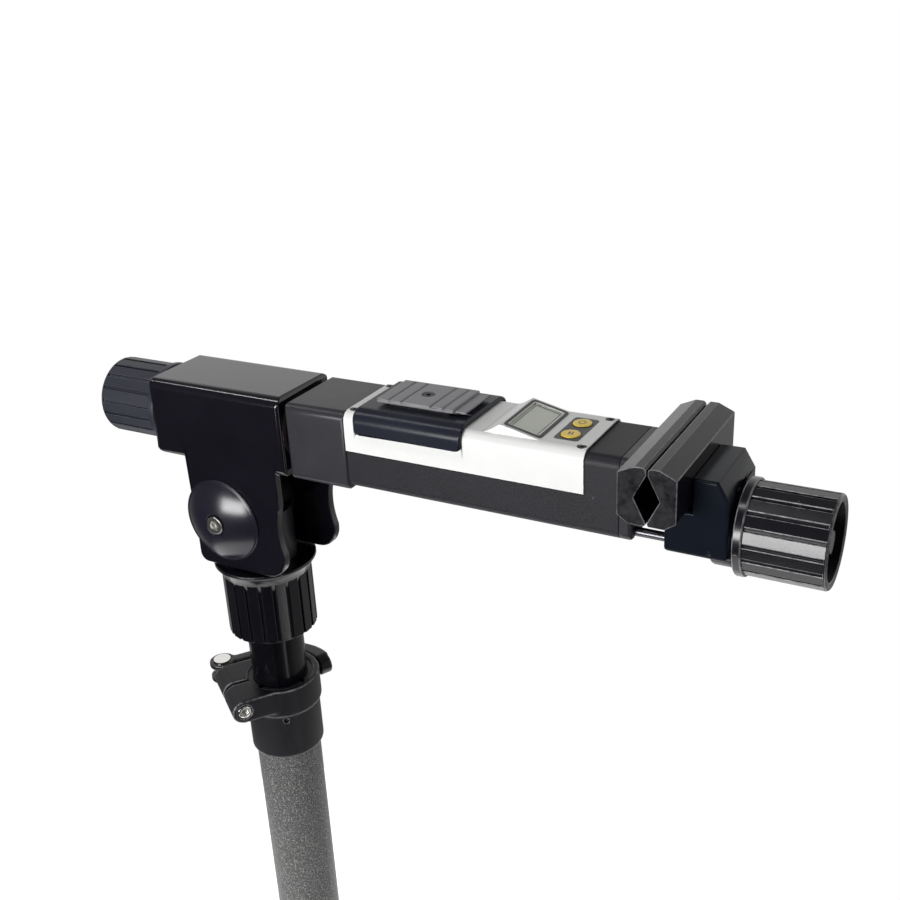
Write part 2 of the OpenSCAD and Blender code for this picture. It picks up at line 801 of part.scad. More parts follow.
module barrel_pin() {
    color("#d4d5d6") at_clamp() translate([clamp_bolt_r, -lever_pin_y, 0]) difference() {
        translate([0, 0, -lever_h / 2 - 1]) cylinder(d = barrel_d, h = lever_h + 2);
        bar_y(-barrel_d, barrel_d, clamp_bolt_d + 2 * seat_play);
    }
}

module clamp_lever() {
    arc_r = band_d / 2 + 2 * side_play;
    slot_h = clamp_bolt_d + 4 * side_play;
    slot_rear = clamp_bolt_d / 2 + side_play;
    color("#1d1d20") at_clamp() difference() {
        translate([0, 0, -lever_h / 2]) union() {
            translate([clamp_bolt_r, -lever_pin_y, 0]) cylinder(r = lever_boss_r, h = lever_h);
            translate([-lever_lap, -arc_r - lever_w + lever_step, lever_step])
                cube([clamp_bolt_r + lever_lap, lever_w - 2 * lever_step, lever_h - 2 * lever_step]);
            rotate([0, 0, -90 - lever_wrap]) rotate_extrude(angle = lever_wrap)
                translate([arc_r, 0]) square([lever_w, lever_h]);
            rotate([0, 0, -90 - lever_wrap]) translate([0, 0, lever_h / 2])
                bar_x(arc_r + lever_step, arc_r + lever_w - lever_step, lever_h - 2 * lever_step);
        }
        translate([clamp_bolt_r, -lever_pin_y, 0]) {
            translate([0, 0, -lever_h]) cylinder(d = barrel_d + 2 * run_play, h = 2 * lever_h);
            translate([-slot_rear, -2 * lever_boss_r, -slot_h / 2])
                cube([4 * lever_boss_r, 4 * lever_boss_r, slot_h]);
        }
    }
}

module guide_bush() {
    bore_d = upper_tube_d + 2 * slide_play;
    key_r = upper_tube_d / 2 - keyway_depth + slide_play;
    key_depth = upper_tube_d / 2 + 2 * slide_play - key_r;
    color("#18181a") {
        difference() {
            union() {
                translate([0, 0, lower_tube_top - bush_len])
                    cylinder(d = lower_tube_d - 2 * lower_tube_wall - 2 * seat_play, h = bush_len);
                translate([0, 0, lower_tube_top]) cylinder(d = lower_tube_d, h = bush_lip);
            }
            translate([0, 0, lower_tube_top - bush_len - 1]) cylinder(d = bore_d, h = bush_len + bush_lip + 2);
            for (i = [0 : 3])
                rotate([0, 0, keyway_azimuth + 45 + 90 * i])
                    translate([bore_d / 2 - 1, -lip_notch / 2, lower_tube_top + bush_lip / 2])
                        cube([lower_tube_d, lip_notch, bush_lip]);
        }
        rotate([0, 0, keyway_azimuth])
            translate([key_r, -keyway_w / 2 + slide_play, lower_tube_top - bush_len])
                cube([key_depth, keyway_w - 2 * slide_play, bush_len + bush_lip]);
    }
}

module upper_tube() {
    color("#141416") difference() {
        translate([0, 0, upper_tube_z]) pipe(upper_tube_d, upper_tube_wall, upper_tube_len);
        rotate([0, 0, keyway_azimuth])
            translate([upper_tube_d / 2 - keyway_depth, -keyway_w / 2, upper_tube_z - 1])
                cube([upper_tube_d, keyway_w, upper_tube_len + 2]);
    }
}

module guide_ring() {
    color("#232326") translate([0, 0, upper_tube_z]) {
        cylinder(d = upper_tube_d - 2 * upper_tube_wall - 2 * seat_play, h = ring_plug_len);
        translate([0, 0, -ring_h])
            cylinder(d = lower_tube_d - 2 * lower_tube_wall - 2 * slide_play, h = ring_h);
    }
}

module knuckle() {
    plug_d = upper_tube_d - 2 * upper_tube_wall - 2 * seat_play;
    color("#1b1b1e") difference() {
        union() {
            at_pivot() bar_y(-knuckle_half, knuckle_half, knuckle_d);
            intersection() {
                translate([0, 0, upper_tube_top]) cylinder(d = neck_d, h = neck_len);
                translate([-neck_d, -knuckle_half, upper_tube_top])
                    cube([2 * neck_d, 2 * knuckle_half, neck_len]);
            }
            translate([0, 0, upper_tube_top - knuckle_plug_len]) cylinder(d = plug_d, h = knuckle_plug_len);
        }
        at_pivot() bar_y(-head_w, head_w, pivot_bush_d + 2 * seat_play);
    }
}

module pivot_bushes() {
    color("#d8d4c4") at_pivot() difference() {
        for (side = [-1, 1])
            scale([1, side, 1]) {
                bar_y(knuckle_half - pivot_bush_len, knuckle_half, pivot_bush_d);
                bar_y(knuckle_half, knuckle_half + pivot_flange_t, pivot_flange_d);
            }
        bar_y(-head_w, head_w, pivot_sleeve_d + 2 * run_play);
    }
}

module lock_collar() {
    grip_top = collar_len - collar_rim_h - collar_flare_h;
    color("#17171a") translate([0, 0, collar_top - collar_len]) difference() {
        union() {
            cylinder(d = collar_grip_d, h = grip_top);
            translate([0, 0, grip_top])
                cylinder(d1 = collar_grip_d, d2 = collar_rim_d, h = collar_flare_h);
            translate([0, 0, collar_len - collar_rim_h]) cylinder(d = collar_rim_d, h = collar_rim_h);
        }
        translate([0, 0, -1]) cylinder(d = upper_tube_d + 2 * slide_play, h = collar_len + 2);
        translate([0, 0, collar_len - collar_neck_depth])
            cylinder(d = neck_d + 2 * slide_play, h = collar_neck_depth + 1);
        grip_grooves(collar_grip_d, -1, grip_top - groove_inset, collar_grooves);
    }
}

// Outline of a fork cheek around the pivot, with the given reach in front and its top inside the housing
module cheek_outline(front) {
    top = arm_rise - head_h / 2 + head_edge_r;
    translate([-cheek_rear, cheek_rear_r - fork_drop]) square([cheek_rear, top + fork_drop - cheek_rear_r]);
    difference() {
        translate([0, cheek_front_r - fork_drop]) square([front, top + fork_drop - cheek_front_r]);
        translate([front + cheek_waist_r - cheek_waist, 0]) circle(r = cheek_waist_r);
    }
    translate([cheek_rear_r - cheek_rear, -fork_drop])
        square([cheek_rear + front - cheek_rear_r - cheek_front_r, fork_drop + top]);
    translate([cheek_rear_r - cheek_rear, cheek_rear_r - fork_drop]) circle(r = cheek_rear_r);
    translate([front - cheek_front_r, cheek_front_r - fork_drop]) circle(r = cheek_front_r);
}

module head_fork() {
    color("#0e0e10") difference() {
        union() {
            at_arm()
                soft_block(-head_back, head_front, head_w / 2, -head_h / 2, head_h / 2,
                    head_edge_r, head_end_r);
            at_pivot() {
                along_y(fork_half, head_w / 2) cheek_outline(far_cheek_front);
                along_y(-head_w / 2, -fork_half) cheek_outline(near_cheek_front);
            }
        }
        at_arm() {
            bar_x(-2 * head_back, 2 * head_front, spindle_bush_d + 2 * seat_play);
            bar_x(spindle_bush_len - head_back, head_front - spindle_bush_len, head_hollow_d);
        }
        at_pivot() bar_y(-head_w, head_w, pivot_bolt_d + 2 * run_play);
    }
}

module pivot_caps() {
    color("#1f1e24") at_pivot()
        for (side = [-1, 1])
            scale([1, side, 1]) difference() {
                union() {
                    bar_y(head_w / 2, head_w / 2 + cap_rim_t, cap_d + 2 * cap_rim_w);
                    intersection() {
                        translate([0, cap_apex - cap_sphere_r, 0]) sphere(r = cap_sphere_r);
                        bar_y(head_w / 2, cap_apex, cap_d);
                    }
                }
                bar_y(0, 2 * head_w, pivot_bolt_d + 2 * run_play);
                bar_y(pivot_head_y, 2 * head_w, pivot_nut_w / cos(30) + 4 * run_play);
            }
}

module pivot_bolt() {
    color("#c9cacc") at_pivot() difference() {
        union() {
            bar_y(-pivot_head_y, cap_apex - side_play, pivot_bolt_d);
            bar_y(-pivot_head_y - pivot_head_h, -pivot_head_y, pivot_head_d);
        }
        translate([0, -pivot_head_y - pivot_head_h / 2, 0])
            rotate([90, 0, 0]) hexagon(pivot_socket, pivot_head_h);
    }
}

module pivot_nut() {
    color("#b4b5b7") at_pivot() difference() {
        translate([0, pivot_head_y, 0]) rotate([-90, 0, 0]) hexagon(pivot_nut_w, pivot_nut_h);
        bar_y(0, 2 * head_w, pivot_bolt_d + 2 * seat_play);
    }
}

module pivot_sleeve() {
    color("#a9abad") at_pivot() difference() {
        bar_y(-fork_half, fork_half, pivot_sleeve_d);
        bar_y(-head_w, head_w, pivot_bolt_d + 2 * seat_play);
    }
}

module spindle_bushes() {
    color("#d8d4c4") at_arm() difference() {
        union() {
            bar_x(-head_back, spindle_bush_len - head_back, spindle_bush_d);
            bar_x(head_front - spindle_bush_len, head_front, spindle_bush_d);
        }
        bar_x(-2 * head_back, 2 * head_front, spindle_d + 2 * run_play);
    }
}

module arm_spindle() {
    color("#9fa1a4") at_arm() {
        bar_x(-head_back, root_x + spindle_grip, spindle_d);
        bar_x(spindle_inset - head_back - knob_len, -head_back, screw_d);
    }
}

module friction_disc() {
    color("#3a3330") at_arm() difference() {
        bar_x(head_front + side_play, root_x, disc_d);
        bar_x(0, 2 * root_x, spindle_d + 2 * seat_play);
    }
}

module arm_root() {
    color("#161618") at_arm() difference() {
        soft_block(root_x, beam_x, root_w / 2, -root_bottom, root_top, beam_edge_r, arm_end_r);
        bar_x(root_x - 1, root_x + spindle_grip, spindle_d + 2 * seat_play);
    }
}

// Outline of the beam, drawn in Y and Z
module beam_outline() {
    rounded(-beam_w / 2, -beam_bottom, beam_w / 2, beam_top, beam_edge_r);
}

// Outline of the beam's inside, smaller by the given play
module beam_inside(play) {
    rounded(beam_wall + play - beam_w / 2, beam_wall + play - beam_bottom,
        beam_w / 2 - beam_wall - play, beam_top - beam_wall - play, beam_edge_r - beam_wall / 2);
}

module arm_beam() {
    inner_half = beam_w / 2 - beam_wall;
    opening_x = hump_peak_x - opening_margin;
    opening_half = hump_half - opening_margin;
    color("#1c1c1e") at_arm() {
        difference() {
            along_x(beam_x, end_x) beam_outline();
            along_x(beam_x - 1, end_x + 1) beam_inside(0);
            translate([opening_x, -opening_half, beam_top - 2 * beam_wall])
                cube([board_x + board_len - opening_x, 2 * opening_half, 4 * beam_wall]);
            translate([plate_mid, 0, beam_top - 2 * beam_wall])
                cylinder(d = shoe_screw_d + 2 * seat_play, h = 4 * beam_wall);
            cover_screw_places()
                cylinder(d = cover_screw_d + 2 * seat_play, h = 4 * cover_screw_len, center = true);
        }
        for (side = [-1, 1])
            scale([1, side, 1])
                translate([board_x, inner_half - ledge_w, board_top - board_t - ledge_t])
                    cube([board_len, ledge_w + beam_wall / 2, ledge_t]);
    }
}

module load_cell() {
    color("#b0b2b5") at_arm() difference() {
        translate([beam_x, -cell_w / 2, cell_z - cell_w / 2]) cube([cell_len, cell_w, cell_w]);
        for (step = [-1, 1])
            translate([beam_x + cell_len / 2 + step * cell_hole_pitch / 2, 0, cell_z])
                bar_y(-cell_w, cell_w, cell_hole_d);
    }
}

// The four places of the cover screws, under their heads
module cover_screw_places() {
    for (x = [beam_x + cover_screw_inset, cover_end - cover_screw_inset], y = [-cover_screw_y, cover_screw_y])
        translate([x, y, beam_top]) children();
}

module scale_cover() {
    color("#dcdcda") difference() {
        at_arm() union() {
            along_x(beam_x, cover_end) difference() {
                rounded(-cover_half, -beam_bottom, cover_half, cover_top, cover_edge_r);
                beam_outline();
                translate([-beam_w, cover_skirt_z - 2 * beam_w]) square([2 * beam_w, 2 * beam_w]);
            }
            along_y(-hump_half, hump_half)
                polygon([
                    [hump_rear_x, cover_top],
                    [hump_rear_x, beam_top],
                    [hump_low_x, beam_top],
                    [hump_low_x, cover_top],
                    [hump_peak_x, cover_top + hump_h]
                ]);
        }
        at_arm() {
            cover_screw_places() {
                cylinder(d = cover_screw_head_d + 2 * side_play, h = 4 * cover_top_t);
                cylinder(d = cover_screw_d + 2 * run_play, h = 8 * cover_top_t, center = true);
            }
            translate([plate_mid, 0, beam_top - 1])
                cylinder(d = shoe_screw_d + 2 * run_play, h = 4 * cover_top_t);
            translate([button_x - button_frame_len / 2, -button_frame_w / 2, cover_top - button_frame_t])
                cube([button_frame_len, button_frame_w, 2 * button_frame_t]);
            button_places() cylinder(d = button_d + 2 * slide_play, h = 4 * cover_top_t, center = true);
        }
        at_display() {
            translate([-frame_len / 2, -frame_w / 2, frame_proud - frame_t])
                cube([frame_len, frame_w, 2 * frame_t]);
            translate([0, 0, frame_proud - frame_t - panel_t])
                linear_extrude(2 * panel_t) panel_outline();
        }
    }
}

module cover_screws() {
    color("#55565a") at_arm() cover_screw_places() {
        difference() {
            cylinder(d = cover_screw_head_d, h = cover_top_t - cover_screw_sink);
            translate([0, 0, cover_top_t / 2]) hexagon(cover_socket, cover_top_t);
        }
        translate([0, 0, -cover_screw_len]) cylinder(d = cover_screw_d, h = cover_screw_len);
    }
}

// Outline of the display window in its frame
module window_outline() {
    rounded(frame_border - frame_len / 2, frame_border - frame_w / 2,
        frame_len / 2 - frame_border, frame_w / 2 - frame_border, frame_r / 2);
}

// Outline of the display panel behind the window
module panel_outline() {
    translate([panel_margin - frame_len / 2, panel_margin - frame_w / 2])
        square([frame_len - 2 * panel_margin, frame_w - 2 * panel_margin]);
}

module display_frame() {
    color("#4a4c4e") at_display()
        translate([0, 0, frame_proud - frame_t]) linear_extrude(frame_t) difference() {
            rounded(-frame_len / 2, -frame_w / 2, frame_len / 2, frame_w / 2, frame_r);
            window_outline();
        }
}

module display_lens() {
    color("#c9d2d0") at_display()
        translate([0, 0, frame_proud - frame_t]) linear_extrude(frame_t - frame_proud / 2) window_outline();
}

module display_panel() {
    color("#9aa39a") at_display()
        translate([0, 0, frame_proud - frame_t - panel_t]) linear_extrude(panel_t) panel_outline();
}

// The two places of the buttons, on top of the cover
module button_places() {
    for (side = [-1, 1])
        translate([button_x, side * button_pitch / 2, cover_top]) children();
}

module button_frame() {
    color("#3b4038") at_arm() difference() {
        translate([button_x - button_frame_len / 2, -button_frame_w / 2, cover_top - button_frame_t])
            cube([button_frame_len, button_frame_w, button_frame_t]);
        button_places() cylinder(d = button_d + 2 * slide_play, h = 4 * cover_top_t, center = true);
    }
}

// A button with its stem, whose cap stands on the cover's top
module button(side) {
    stem_foot = board_top + switch_h + button_travel + switch_gap;
    color("#d9a21b") at_arm() translate([button_x, side * button_pitch / 2, 0]) {
        translate([0, 0, beam_top]) cylinder(d = button_d, h = cover_top_t + button_proud);
        translate([0, 0, stem_foot]) cylinder(d = button_stem_d, h = beam_top - stem_foot);
    }
}

module circuit_board() {
    color("#2f6b3c") at_arm() {
        translate([board_x, -board_w / 2, board_top - board_t]) cube([board_len, board_w, board_t]);
        for (side = [-1, 1])
            translate([button_x - switch_w / 2, side * button_pitch / 2 - switch_w / 2, board_top])
                cube([switch_w, switch_w, switch_h]);
    }
}

module battery() {
    color("#c2c4c6") at_arm() translate([board_x + board_len / 2, 0, board_top - board_t - battery_t])
        cylinder(d = battery_d, h = battery_t);
}

module shoe_saddle() {
    color("#131315") at_arm() difference() {
        soft_block(saddle_x, saddle_x + saddle_len, saddle_half, saddle_skirt_z - beam_w, saddle_top,
            cover_edge_r + saddle_side_t, saddle_end_r);
        along_x(saddle_x - 1, saddle_x + saddle_len + 1)
            rounded(-cover_half, -2 * beam_w, cover_half, cover_top, cover_edge_r);
        translate([saddle_x - 1, -beam_w, saddle_skirt_z - 2 * beam_w])
            cube([saddle_len + 2, 2 * beam_w, 2 * beam_w]);
        translate([plate_mid, 0, 0]) cylinder(d = shoe_screw_d + 2 * run_play, h = beam_w);
    }
}

module shoe_plate() {
    half = plate_w / 2;
    front_groove = plate_x + plate_len - plate_groove_inset;
    groove_xs = [plate_x + plate_groove_pitch, plate_x + 2 * plate_groove_pitch,
        front_groove - plate_groove_pitch, front_groove];
    color("#4d4f52") at_arm() difference() {
        union() {
            soft_block(plate_x, plate_x + plate_len, half, plate_z, plate_z + plate_t,
                plate_edge_r, plate_edge_r);
            translate([plate_x + plate_len - 2 * plate_edge_r, plate_nose_inset - half, plate_z])
                cube([plate_nose + 2 * plate_edge_r, plate_w - 2 * plate_nose_inset, plate_t / 2]);
            translate([plate_x + plate_overhang, plate_overhang - half, saddle_top])
                cube([plate_len - 2 * plate_overhang, plate_w - 2 * plate_overhang, plate_gap + plate_t / 2]);
        }
        for (x = groove_xs)
            translate([x - plate_groove_w / 2, -plate_w, plate_z + plate_t - plate_groove_depth])
                cube([plate_groove_w, 2 * plate_w, plate_t]);
        translate([plate_mid, 0, shoe_head_z]) cylinder(d = plate_hole_d, h = plate_t);
        translate([plate_mid, 0, 0]) cylinder(d = shoe_screw_d + 2 * run_play, h = beam_w);
    }
}

module shoe_screw() {
    color("#8d8f92") at_arm() translate([plate_mid, 0, shoe_head_z]) difference() {
        union() {
            cylinder(d = shoe_head_d, h = shoe_head_h);
            translate([0, 0, -shoe_screw_len]) cylinder(d = shoe_screw_d, h = shoe_screw_len);
        }
        translate([0, 0, shoe_head_h / 2]) hexagon(shoe_socket, shoe_head_h);
    }
}

module end_block() {
    color("#17171a") difference() {
        at_arm() union() {
            intersection() {
                soft_block(end_x - 2 * arm_end_r, pad_x, beam_w / 2, -beam_bottom, beam_top,
                    beam_edge_r, arm_end_r);
                translate([end_x, -beam_w, -beam_w]) cube([end_len, 2 * beam_w, 2 * beam_w]);
            }
            along_x(end_x - end_plug, end_x + 1) beam_inside(plug_play);
        }
        at_screw() bar_x(end_x - 2 * end_plug, pad_x + 1, screw_d + 2 * seat_play);
        rod_places() bar_x(end_x, pad_x + 1, rod_d + 2 * seat_play);
    }
}

// The two axes of the guide rods
module rod_places() {
    for (side = [-1, 1])
        translate([0, side * rod_y, arm_z - rod_drop]) children();
}

// Section of a pad, from its back face at zero depth
module pad_section() {
    notch_low = pad_bottom + notch_z - notch_h / 2;
    polygon([
        [0, pad_bottom + pad_back_slope],
        [pad_foot_run, pad_bottom],
        [pad_depth - pad_front_run, pad_bottom],
        [pad_depth, notch_low - pad_lip],
        [pad_depth, notch_low],
        [pad_depth - notch_depth, notch_low + notch_h / 2],
        [pad_depth, notch_low + notch_h],
        [pad_depth, pad_top - pad_chamfer],
        [pad_depth - pad_chamfer, pad_top],
        [pad_crown_run, pad_top],
        [0, pad_top - pad_back_slope]
    ]);
}

module fixed_pad() {
    color("#141414") at_arm() along_y(-pad_len / 2, pad_len / 2) translate([pad_x, 0]) pad_section();
}

module clamp_screw() {
    color("#8c8e91") at_screw() bar_x(end_x - end_plug, screw_end, screw_d);
}

module guide_rods() {
    color("#2b2b2e") rod_places() bar_x(end_x, rod_end, rod_d);
}

// A hand knob along +Z, with its flange at the origin and its open end away
module hand_knob() {
    hollow_d = knob_d - 2 * knob_wall - 2 * groove_depth;
    difference() {
        union() {
            cylinder(d = knob_flange_d, h = knob_flange_len);
            cylinder(d = knob_d, h = knob_len);
        }
        grip_grooves(knob_d, knob_flange_len + groove_inset, knob_len - knob_rim_len, knob_grooves);
        translate([0, 0, knob_hub_len]) cylinder(d = hollow_d, h = knob_len);
        translate([0, 0, -1]) cylinder(d = screw_d + 2 * slide_play, h = knob_len);
        translate([0, 0, knob_hub_len - knob_nut_h]) hexagon(knob_nut_w + 2 * seat_play, knob_len);
    }
}

// The nut in a hand knob, in the knob's own place
module hand_knob_nut() {
    difference() {
        translate([0, 0, knob_hub_len - knob_nut_h]) hexagon(knob_nut_w, knob_nut_h);
        cylinder(d = screw_d + 2 * run_play, h = knob_len);
    }
}

// Place of the knob behind the head, with its open end to the rear
module at_rear_knob() {
    at_arm() translate([-head_back - side_play, 0, 0]) rotate([0, -90, 0]) children();
}

// Place of the knob behind the moving jaw, with its open end to the front
module at_jaw_knob() {
    at_screw() translate([knob_x, 0, 0]) rotate([0, 90, 0]) children();
}

module rear_knob() {
    color("#23252a") at_rear_knob() hand_knob();
}

module rear_knob_nut() {
    color("#b08d45") at_rear_knob() hand_knob_nut();
}

module jaw_knob() {
    color("#1a1819") at_jaw_knob() hand_knob();
}

module jaw_knob_nut() {
    color("#b08d45") at_jaw_knob() hand_knob_nut();
}

module thrust_washer() {
    color("#c4c5c7") at_screw() difference() {
        bar_x(boss_end + side_play, knob_x, washer_d);
        bar_x(0, 2 * knob_x, screw_d + 2 * slide_play);
    }
}

module moving_jaw() {
    shelf_z = pad_bottom - plug_play;
    color("#0f0f11") difference() {
        union() {
            at_arm() along_y(-jaw_w / 2, jaw_w / 2)
                polygon([
                    [moving_pad_x + 1, -jaw_bottom],
                    [jaw_end, -jaw_bottom],
                    [jaw_end, jaw_top - jaw_chamfer_h],
                    [jaw_end - jaw_chamfer_run, jaw_top],
                    [jaw_x, jaw_top],
                    [jaw_x, shelf_z],
                    [moving_pad_x + 1, shelf_z]
                ]);
            at_screw() bar_x(jaw_end - boss_depth, boss_end, boss_d);
        }
        at_screw() bar_x(moving_pad_x - 1, 2 * boss_end, screw_d + 2 * slide_play);
        rod_places() bar_x(moving_pad_x - 1, rod_end + 1, rod_d + 2 * run_play);
    }
}

module moving_pad() {
    color("#141414") at_arm() along_y(-pad_len / 2, pad_len / 2)
        translate([jaw_x, 0]) mirror([1, 0]) pad_section();
}

module strut(i) {
    color("#2a2a2d") at_leg(i) translate([pivot_ring_r, 0, hub_pivot_z]) rotate([0, leg_angle - 90, 0]) {
        for (side = [-1, 1])
            scale([1, side, 1])
                along_y(strut_inner, strut_outer) difference() {
                    strap(strut_len, strap_w);
                    circle(d = pin_d + 2 * run_play);
                    translate([strut_len, 0]) circle(d = pin_d + 2 * run_play);
                }
        translate([spacer_at, 0, 0]) bar_y(-strut_inner, strut_inner, spacer_d);
    }
}

// Place on leg i with its top pivot at the origin and the leg along -Z
module along_leg(i) {
    at_leg(i) translate([pivot_ring_r, 0, slider_pivot_z]) rotate([0, -leg_angle, 0]) children();
}

module leg(i) {
    color("#8a8d90") along_leg(i) {
        translate([0, 0, -leg_end]) difference() {
            cylinder(d = leg_d, h = leg_end - leg_start);
            translate([0, 0, -1]) cylinder(d = leg_d - 2 * leg_wall, h = leg_end - leg_start - leg_d / 2);
        }
        difference() {
            along_y(-tongue_t / 2, tongue_t / 2) rotate(-90) strap(leg_start, strap_w);
            bar_y(-leg_d, leg_d, pin_d + 2 * run_play);
        }
        translate([0, 0, -strut_len]) cross_pin(strut_outer + side_play);
    }
}

module foot(i) {
    color("#1a1a1a") difference() {
        along_leg(i) difference() {
            union() {
                translate([0, 0, -foot_centre]) sphere(d = foot_d);
                translate([0, 0, -foot_centre]) cylinder(d = leg_d + 2 * foot_wall, h = foot_grip);
            }
            translate([0, 0, -leg_end]) cylinder(d = leg_d + 2 * seat_play, h = leg_end);
        }
        translate([-leg_len, -leg_len, -leg_len]) cube([2 * leg_len, 2 * leg_len, leg_len]);
    }
}

module leg_slider() {
    color("#2a2a2d") difference() {
        union() {
            translate([0, 0, slider_pivot_z - slider_h / 2]) cylinder(r = slider_r, h = slider_h);
            for (i = [0 : 2], side = [-1, 1])
                at_leg(i) translate([0, 0, slider_pivot_z]) scale([1, side, 1])
                    along_y(slider_ear_inner, slider_ear_outer)
                        translate([slider_r - slider_wall / 2, 0])
                            strap(pivot_ring_r - slider_r + slider_wall / 2, strap_w);
            translate([0, 0, slider_pivot_z])
                bar_x(-slider_r - hand_boss_len, -slider_r + slider_wall / 2, hand_boss_d);
        }
        translate([0, 0, slider_pivot_z - slider_h])
            cylinder(d = lower_tube_d + 2 * slide_play, h = 2 * slider_h);
        for (i = [0 : 2])
            at_leg(i) translate([pivot_ring_r, 0, slider_pivot_z]) bar_y(-leg_d, leg_d, pin_d + 2 * seat_play);
        translate([0, 0, slider_pivot_z]) bar_x(-2 * slider_r, 0, hand_screw_d + 2 * run_play);
    }
}

module slider_pins() {
    color("#b9bbbd")
        for (i = [0 : 2])
            at_leg(i) translate([pivot_ring_r, 0, slider_pivot_z]) cross_pin(slider_ear_outer);
}

module hand_screw() {
    knob_start = slider_r + hand_boss_len + side_play;
    color("#1a1a1c") translate([0, 0, slider_pivot_z]) rotate([0, -90, 0]) {
        translate([0, 0, lower_tube_d / 2 + slide_play])
            cylinder(d = hand_screw_d, h = knob_start - lower_tube_d / 2 - slide_play);
        translate([0, 0, knob_start]) difference() {
            cylinder(d = hand_knob_d, h = hand_knob_len);
            grip_grooves(hand_knob_d, -1, hand_knob_len + 1, hand_knob_grooves);
        }
    }
}

lower_tube();
leg_hub();
hub_pins();
clamp_body();
clamp_bolt();
barrel_pin();
guide_bush();
clamp_lever();
upper_tube();
guide_ring();
knuckle();
pivot_bushes();
lock_collar();
head_fork();
pivot_caps();
pivot_bolt();
pivot_nut();
pivot_sleeve();
spindle_bushes();
arm_spindle();
friction_disc();
arm_root();
arm_beam();
load_cell();
scale_cover();
cover_screws();
display_frame();
display_lens();
display_panel();
button_frame();
circuit_board();
battery();
shoe_saddle();
shoe_plate();
shoe_screw();
end_block();
fixed_pad();
clamp_screw();
guide_rods();
rear_knob();
rear_knob_nut();
button(1);  // power_button
button(-1);  // unit_button
moving_jaw();
moving_pad();
jaw_knob();
jaw_knob_nut();
thrust_washer();
strut(0);  // strut_1
strut(1);  // strut_2
strut(2);  // strut_3
leg(0);  // leg_1
leg(1);  // leg_2
leg(2);  // leg_3
foot(0);  // foot_1
foot(1);  // foot_2
foot(2);  // foot_3
leg_slider();
slider_pins();
hand_screw();
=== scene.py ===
"""Looks of a folding bicycle repair stand: finishes, moulded details, camera and studio light.

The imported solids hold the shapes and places. This script dresses them and swaps some for finer meshes: the
hand knobs, the lock collar, the head's casting and pivot caps, the jaw pads, the scale's cover, display and
buttons, the saddle, the jaw's screw and the mast clamp. Shapes are drafted in millimetres and finished in
metres.
"""

import json
import logging
import math
from dataclasses import dataclass
from enum import Enum
from typing import ClassVar

import bmesh
import bpy
from mathutils import Matrix, Vector

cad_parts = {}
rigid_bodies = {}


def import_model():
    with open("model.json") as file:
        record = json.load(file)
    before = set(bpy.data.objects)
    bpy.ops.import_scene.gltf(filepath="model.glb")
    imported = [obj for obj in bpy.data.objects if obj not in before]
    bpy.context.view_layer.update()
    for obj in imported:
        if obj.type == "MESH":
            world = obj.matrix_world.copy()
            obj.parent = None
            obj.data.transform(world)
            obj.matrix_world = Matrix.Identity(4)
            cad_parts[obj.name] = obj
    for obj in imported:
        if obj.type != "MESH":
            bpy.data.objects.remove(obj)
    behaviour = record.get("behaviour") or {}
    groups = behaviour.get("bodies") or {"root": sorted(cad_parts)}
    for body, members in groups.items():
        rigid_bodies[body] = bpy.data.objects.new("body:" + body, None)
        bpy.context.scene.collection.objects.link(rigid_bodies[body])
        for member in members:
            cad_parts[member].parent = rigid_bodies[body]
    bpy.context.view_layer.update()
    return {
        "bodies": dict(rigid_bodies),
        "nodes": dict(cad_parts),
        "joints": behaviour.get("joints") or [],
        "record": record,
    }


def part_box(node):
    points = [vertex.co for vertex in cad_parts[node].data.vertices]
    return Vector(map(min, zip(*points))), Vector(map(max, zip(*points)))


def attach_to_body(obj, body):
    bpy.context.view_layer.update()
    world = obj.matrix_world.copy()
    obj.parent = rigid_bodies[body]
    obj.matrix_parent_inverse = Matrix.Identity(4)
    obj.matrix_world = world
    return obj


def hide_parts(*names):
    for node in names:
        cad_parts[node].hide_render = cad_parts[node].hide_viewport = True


LOG = logging.getLogger("repair_stand")
MM = 0.001
WELD_GAP = 1e-6
SMALLEST_AREA = 1e-12
WHITE = (1.0, 1.0, 1.0, 1.0)
Colour = tuple[int, int, int]
Point = tuple[float, float]
Corner = tuple[float, float, float]
Outline = list[Point]


def linear(colour: Colour) -> tuple[float, float, float, float]:
    """Turn a colour in screen values into the linear values that a shader takes.

    Args:
        colour: Red, green and blue from 0 to 255.

    Returns:
        Linear red, green, blue and an alpha of one.
    """
    def channel(value: int) -> float:
        """One channel's linear value."""
        share = value / 255.0
        return share / 12.92 if share <= 0.04045 else ((share + 0.055) / 1.055) ** 2.4

    return (*(channel(value) for value in colour), 1.0)


def clamped(value: float) -> float:
    """The value held between zero and one."""
    return min(1.0, max(0.0, value))


@dataclass(frozen=True)
class Box:
    """The room that a solid takes, in millimetres."""

    low: Vector
    high: Vector

    @classmethod
    def of(cls, node: str) -> "Box":
        """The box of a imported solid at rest."""
        low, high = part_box(node)
        return cls(low / MM, high / MM)

    @property
    def centre(self) -> Vector:
        """Middle of the box."""
        return (self.low + self.high) / 2

    @property
    def size(self) -> Vector:
        """Lengths of the box's sides."""
        return self.high - self.low


class Axis(Enum):
    """Direction that a drawn section is swept along, with the matrix that turns its own Z that way."""

    X = Matrix(((0, 0, 1), (1, 0, 0), (0, 1, 0)))
    MINUS_X = Matrix(((0, 0, -1), (-1, 0, 0), (0, 1, 0)))
    Y = Matrix(((0, 1, 0), (0, 0, 1), (1, 0, 0)))
    MINUS_Y = Matrix(((1, 0, 0), (0, 0, -1), (0, 1, 0)))
    Z = Matrix.Identity(3)


class Cut(Enum):
    """What a tool does to the piece that it cuts."""

    TAKE_AWAY = "DIFFERENCE"
    KEEP_INSIDE = "INTERSECT"


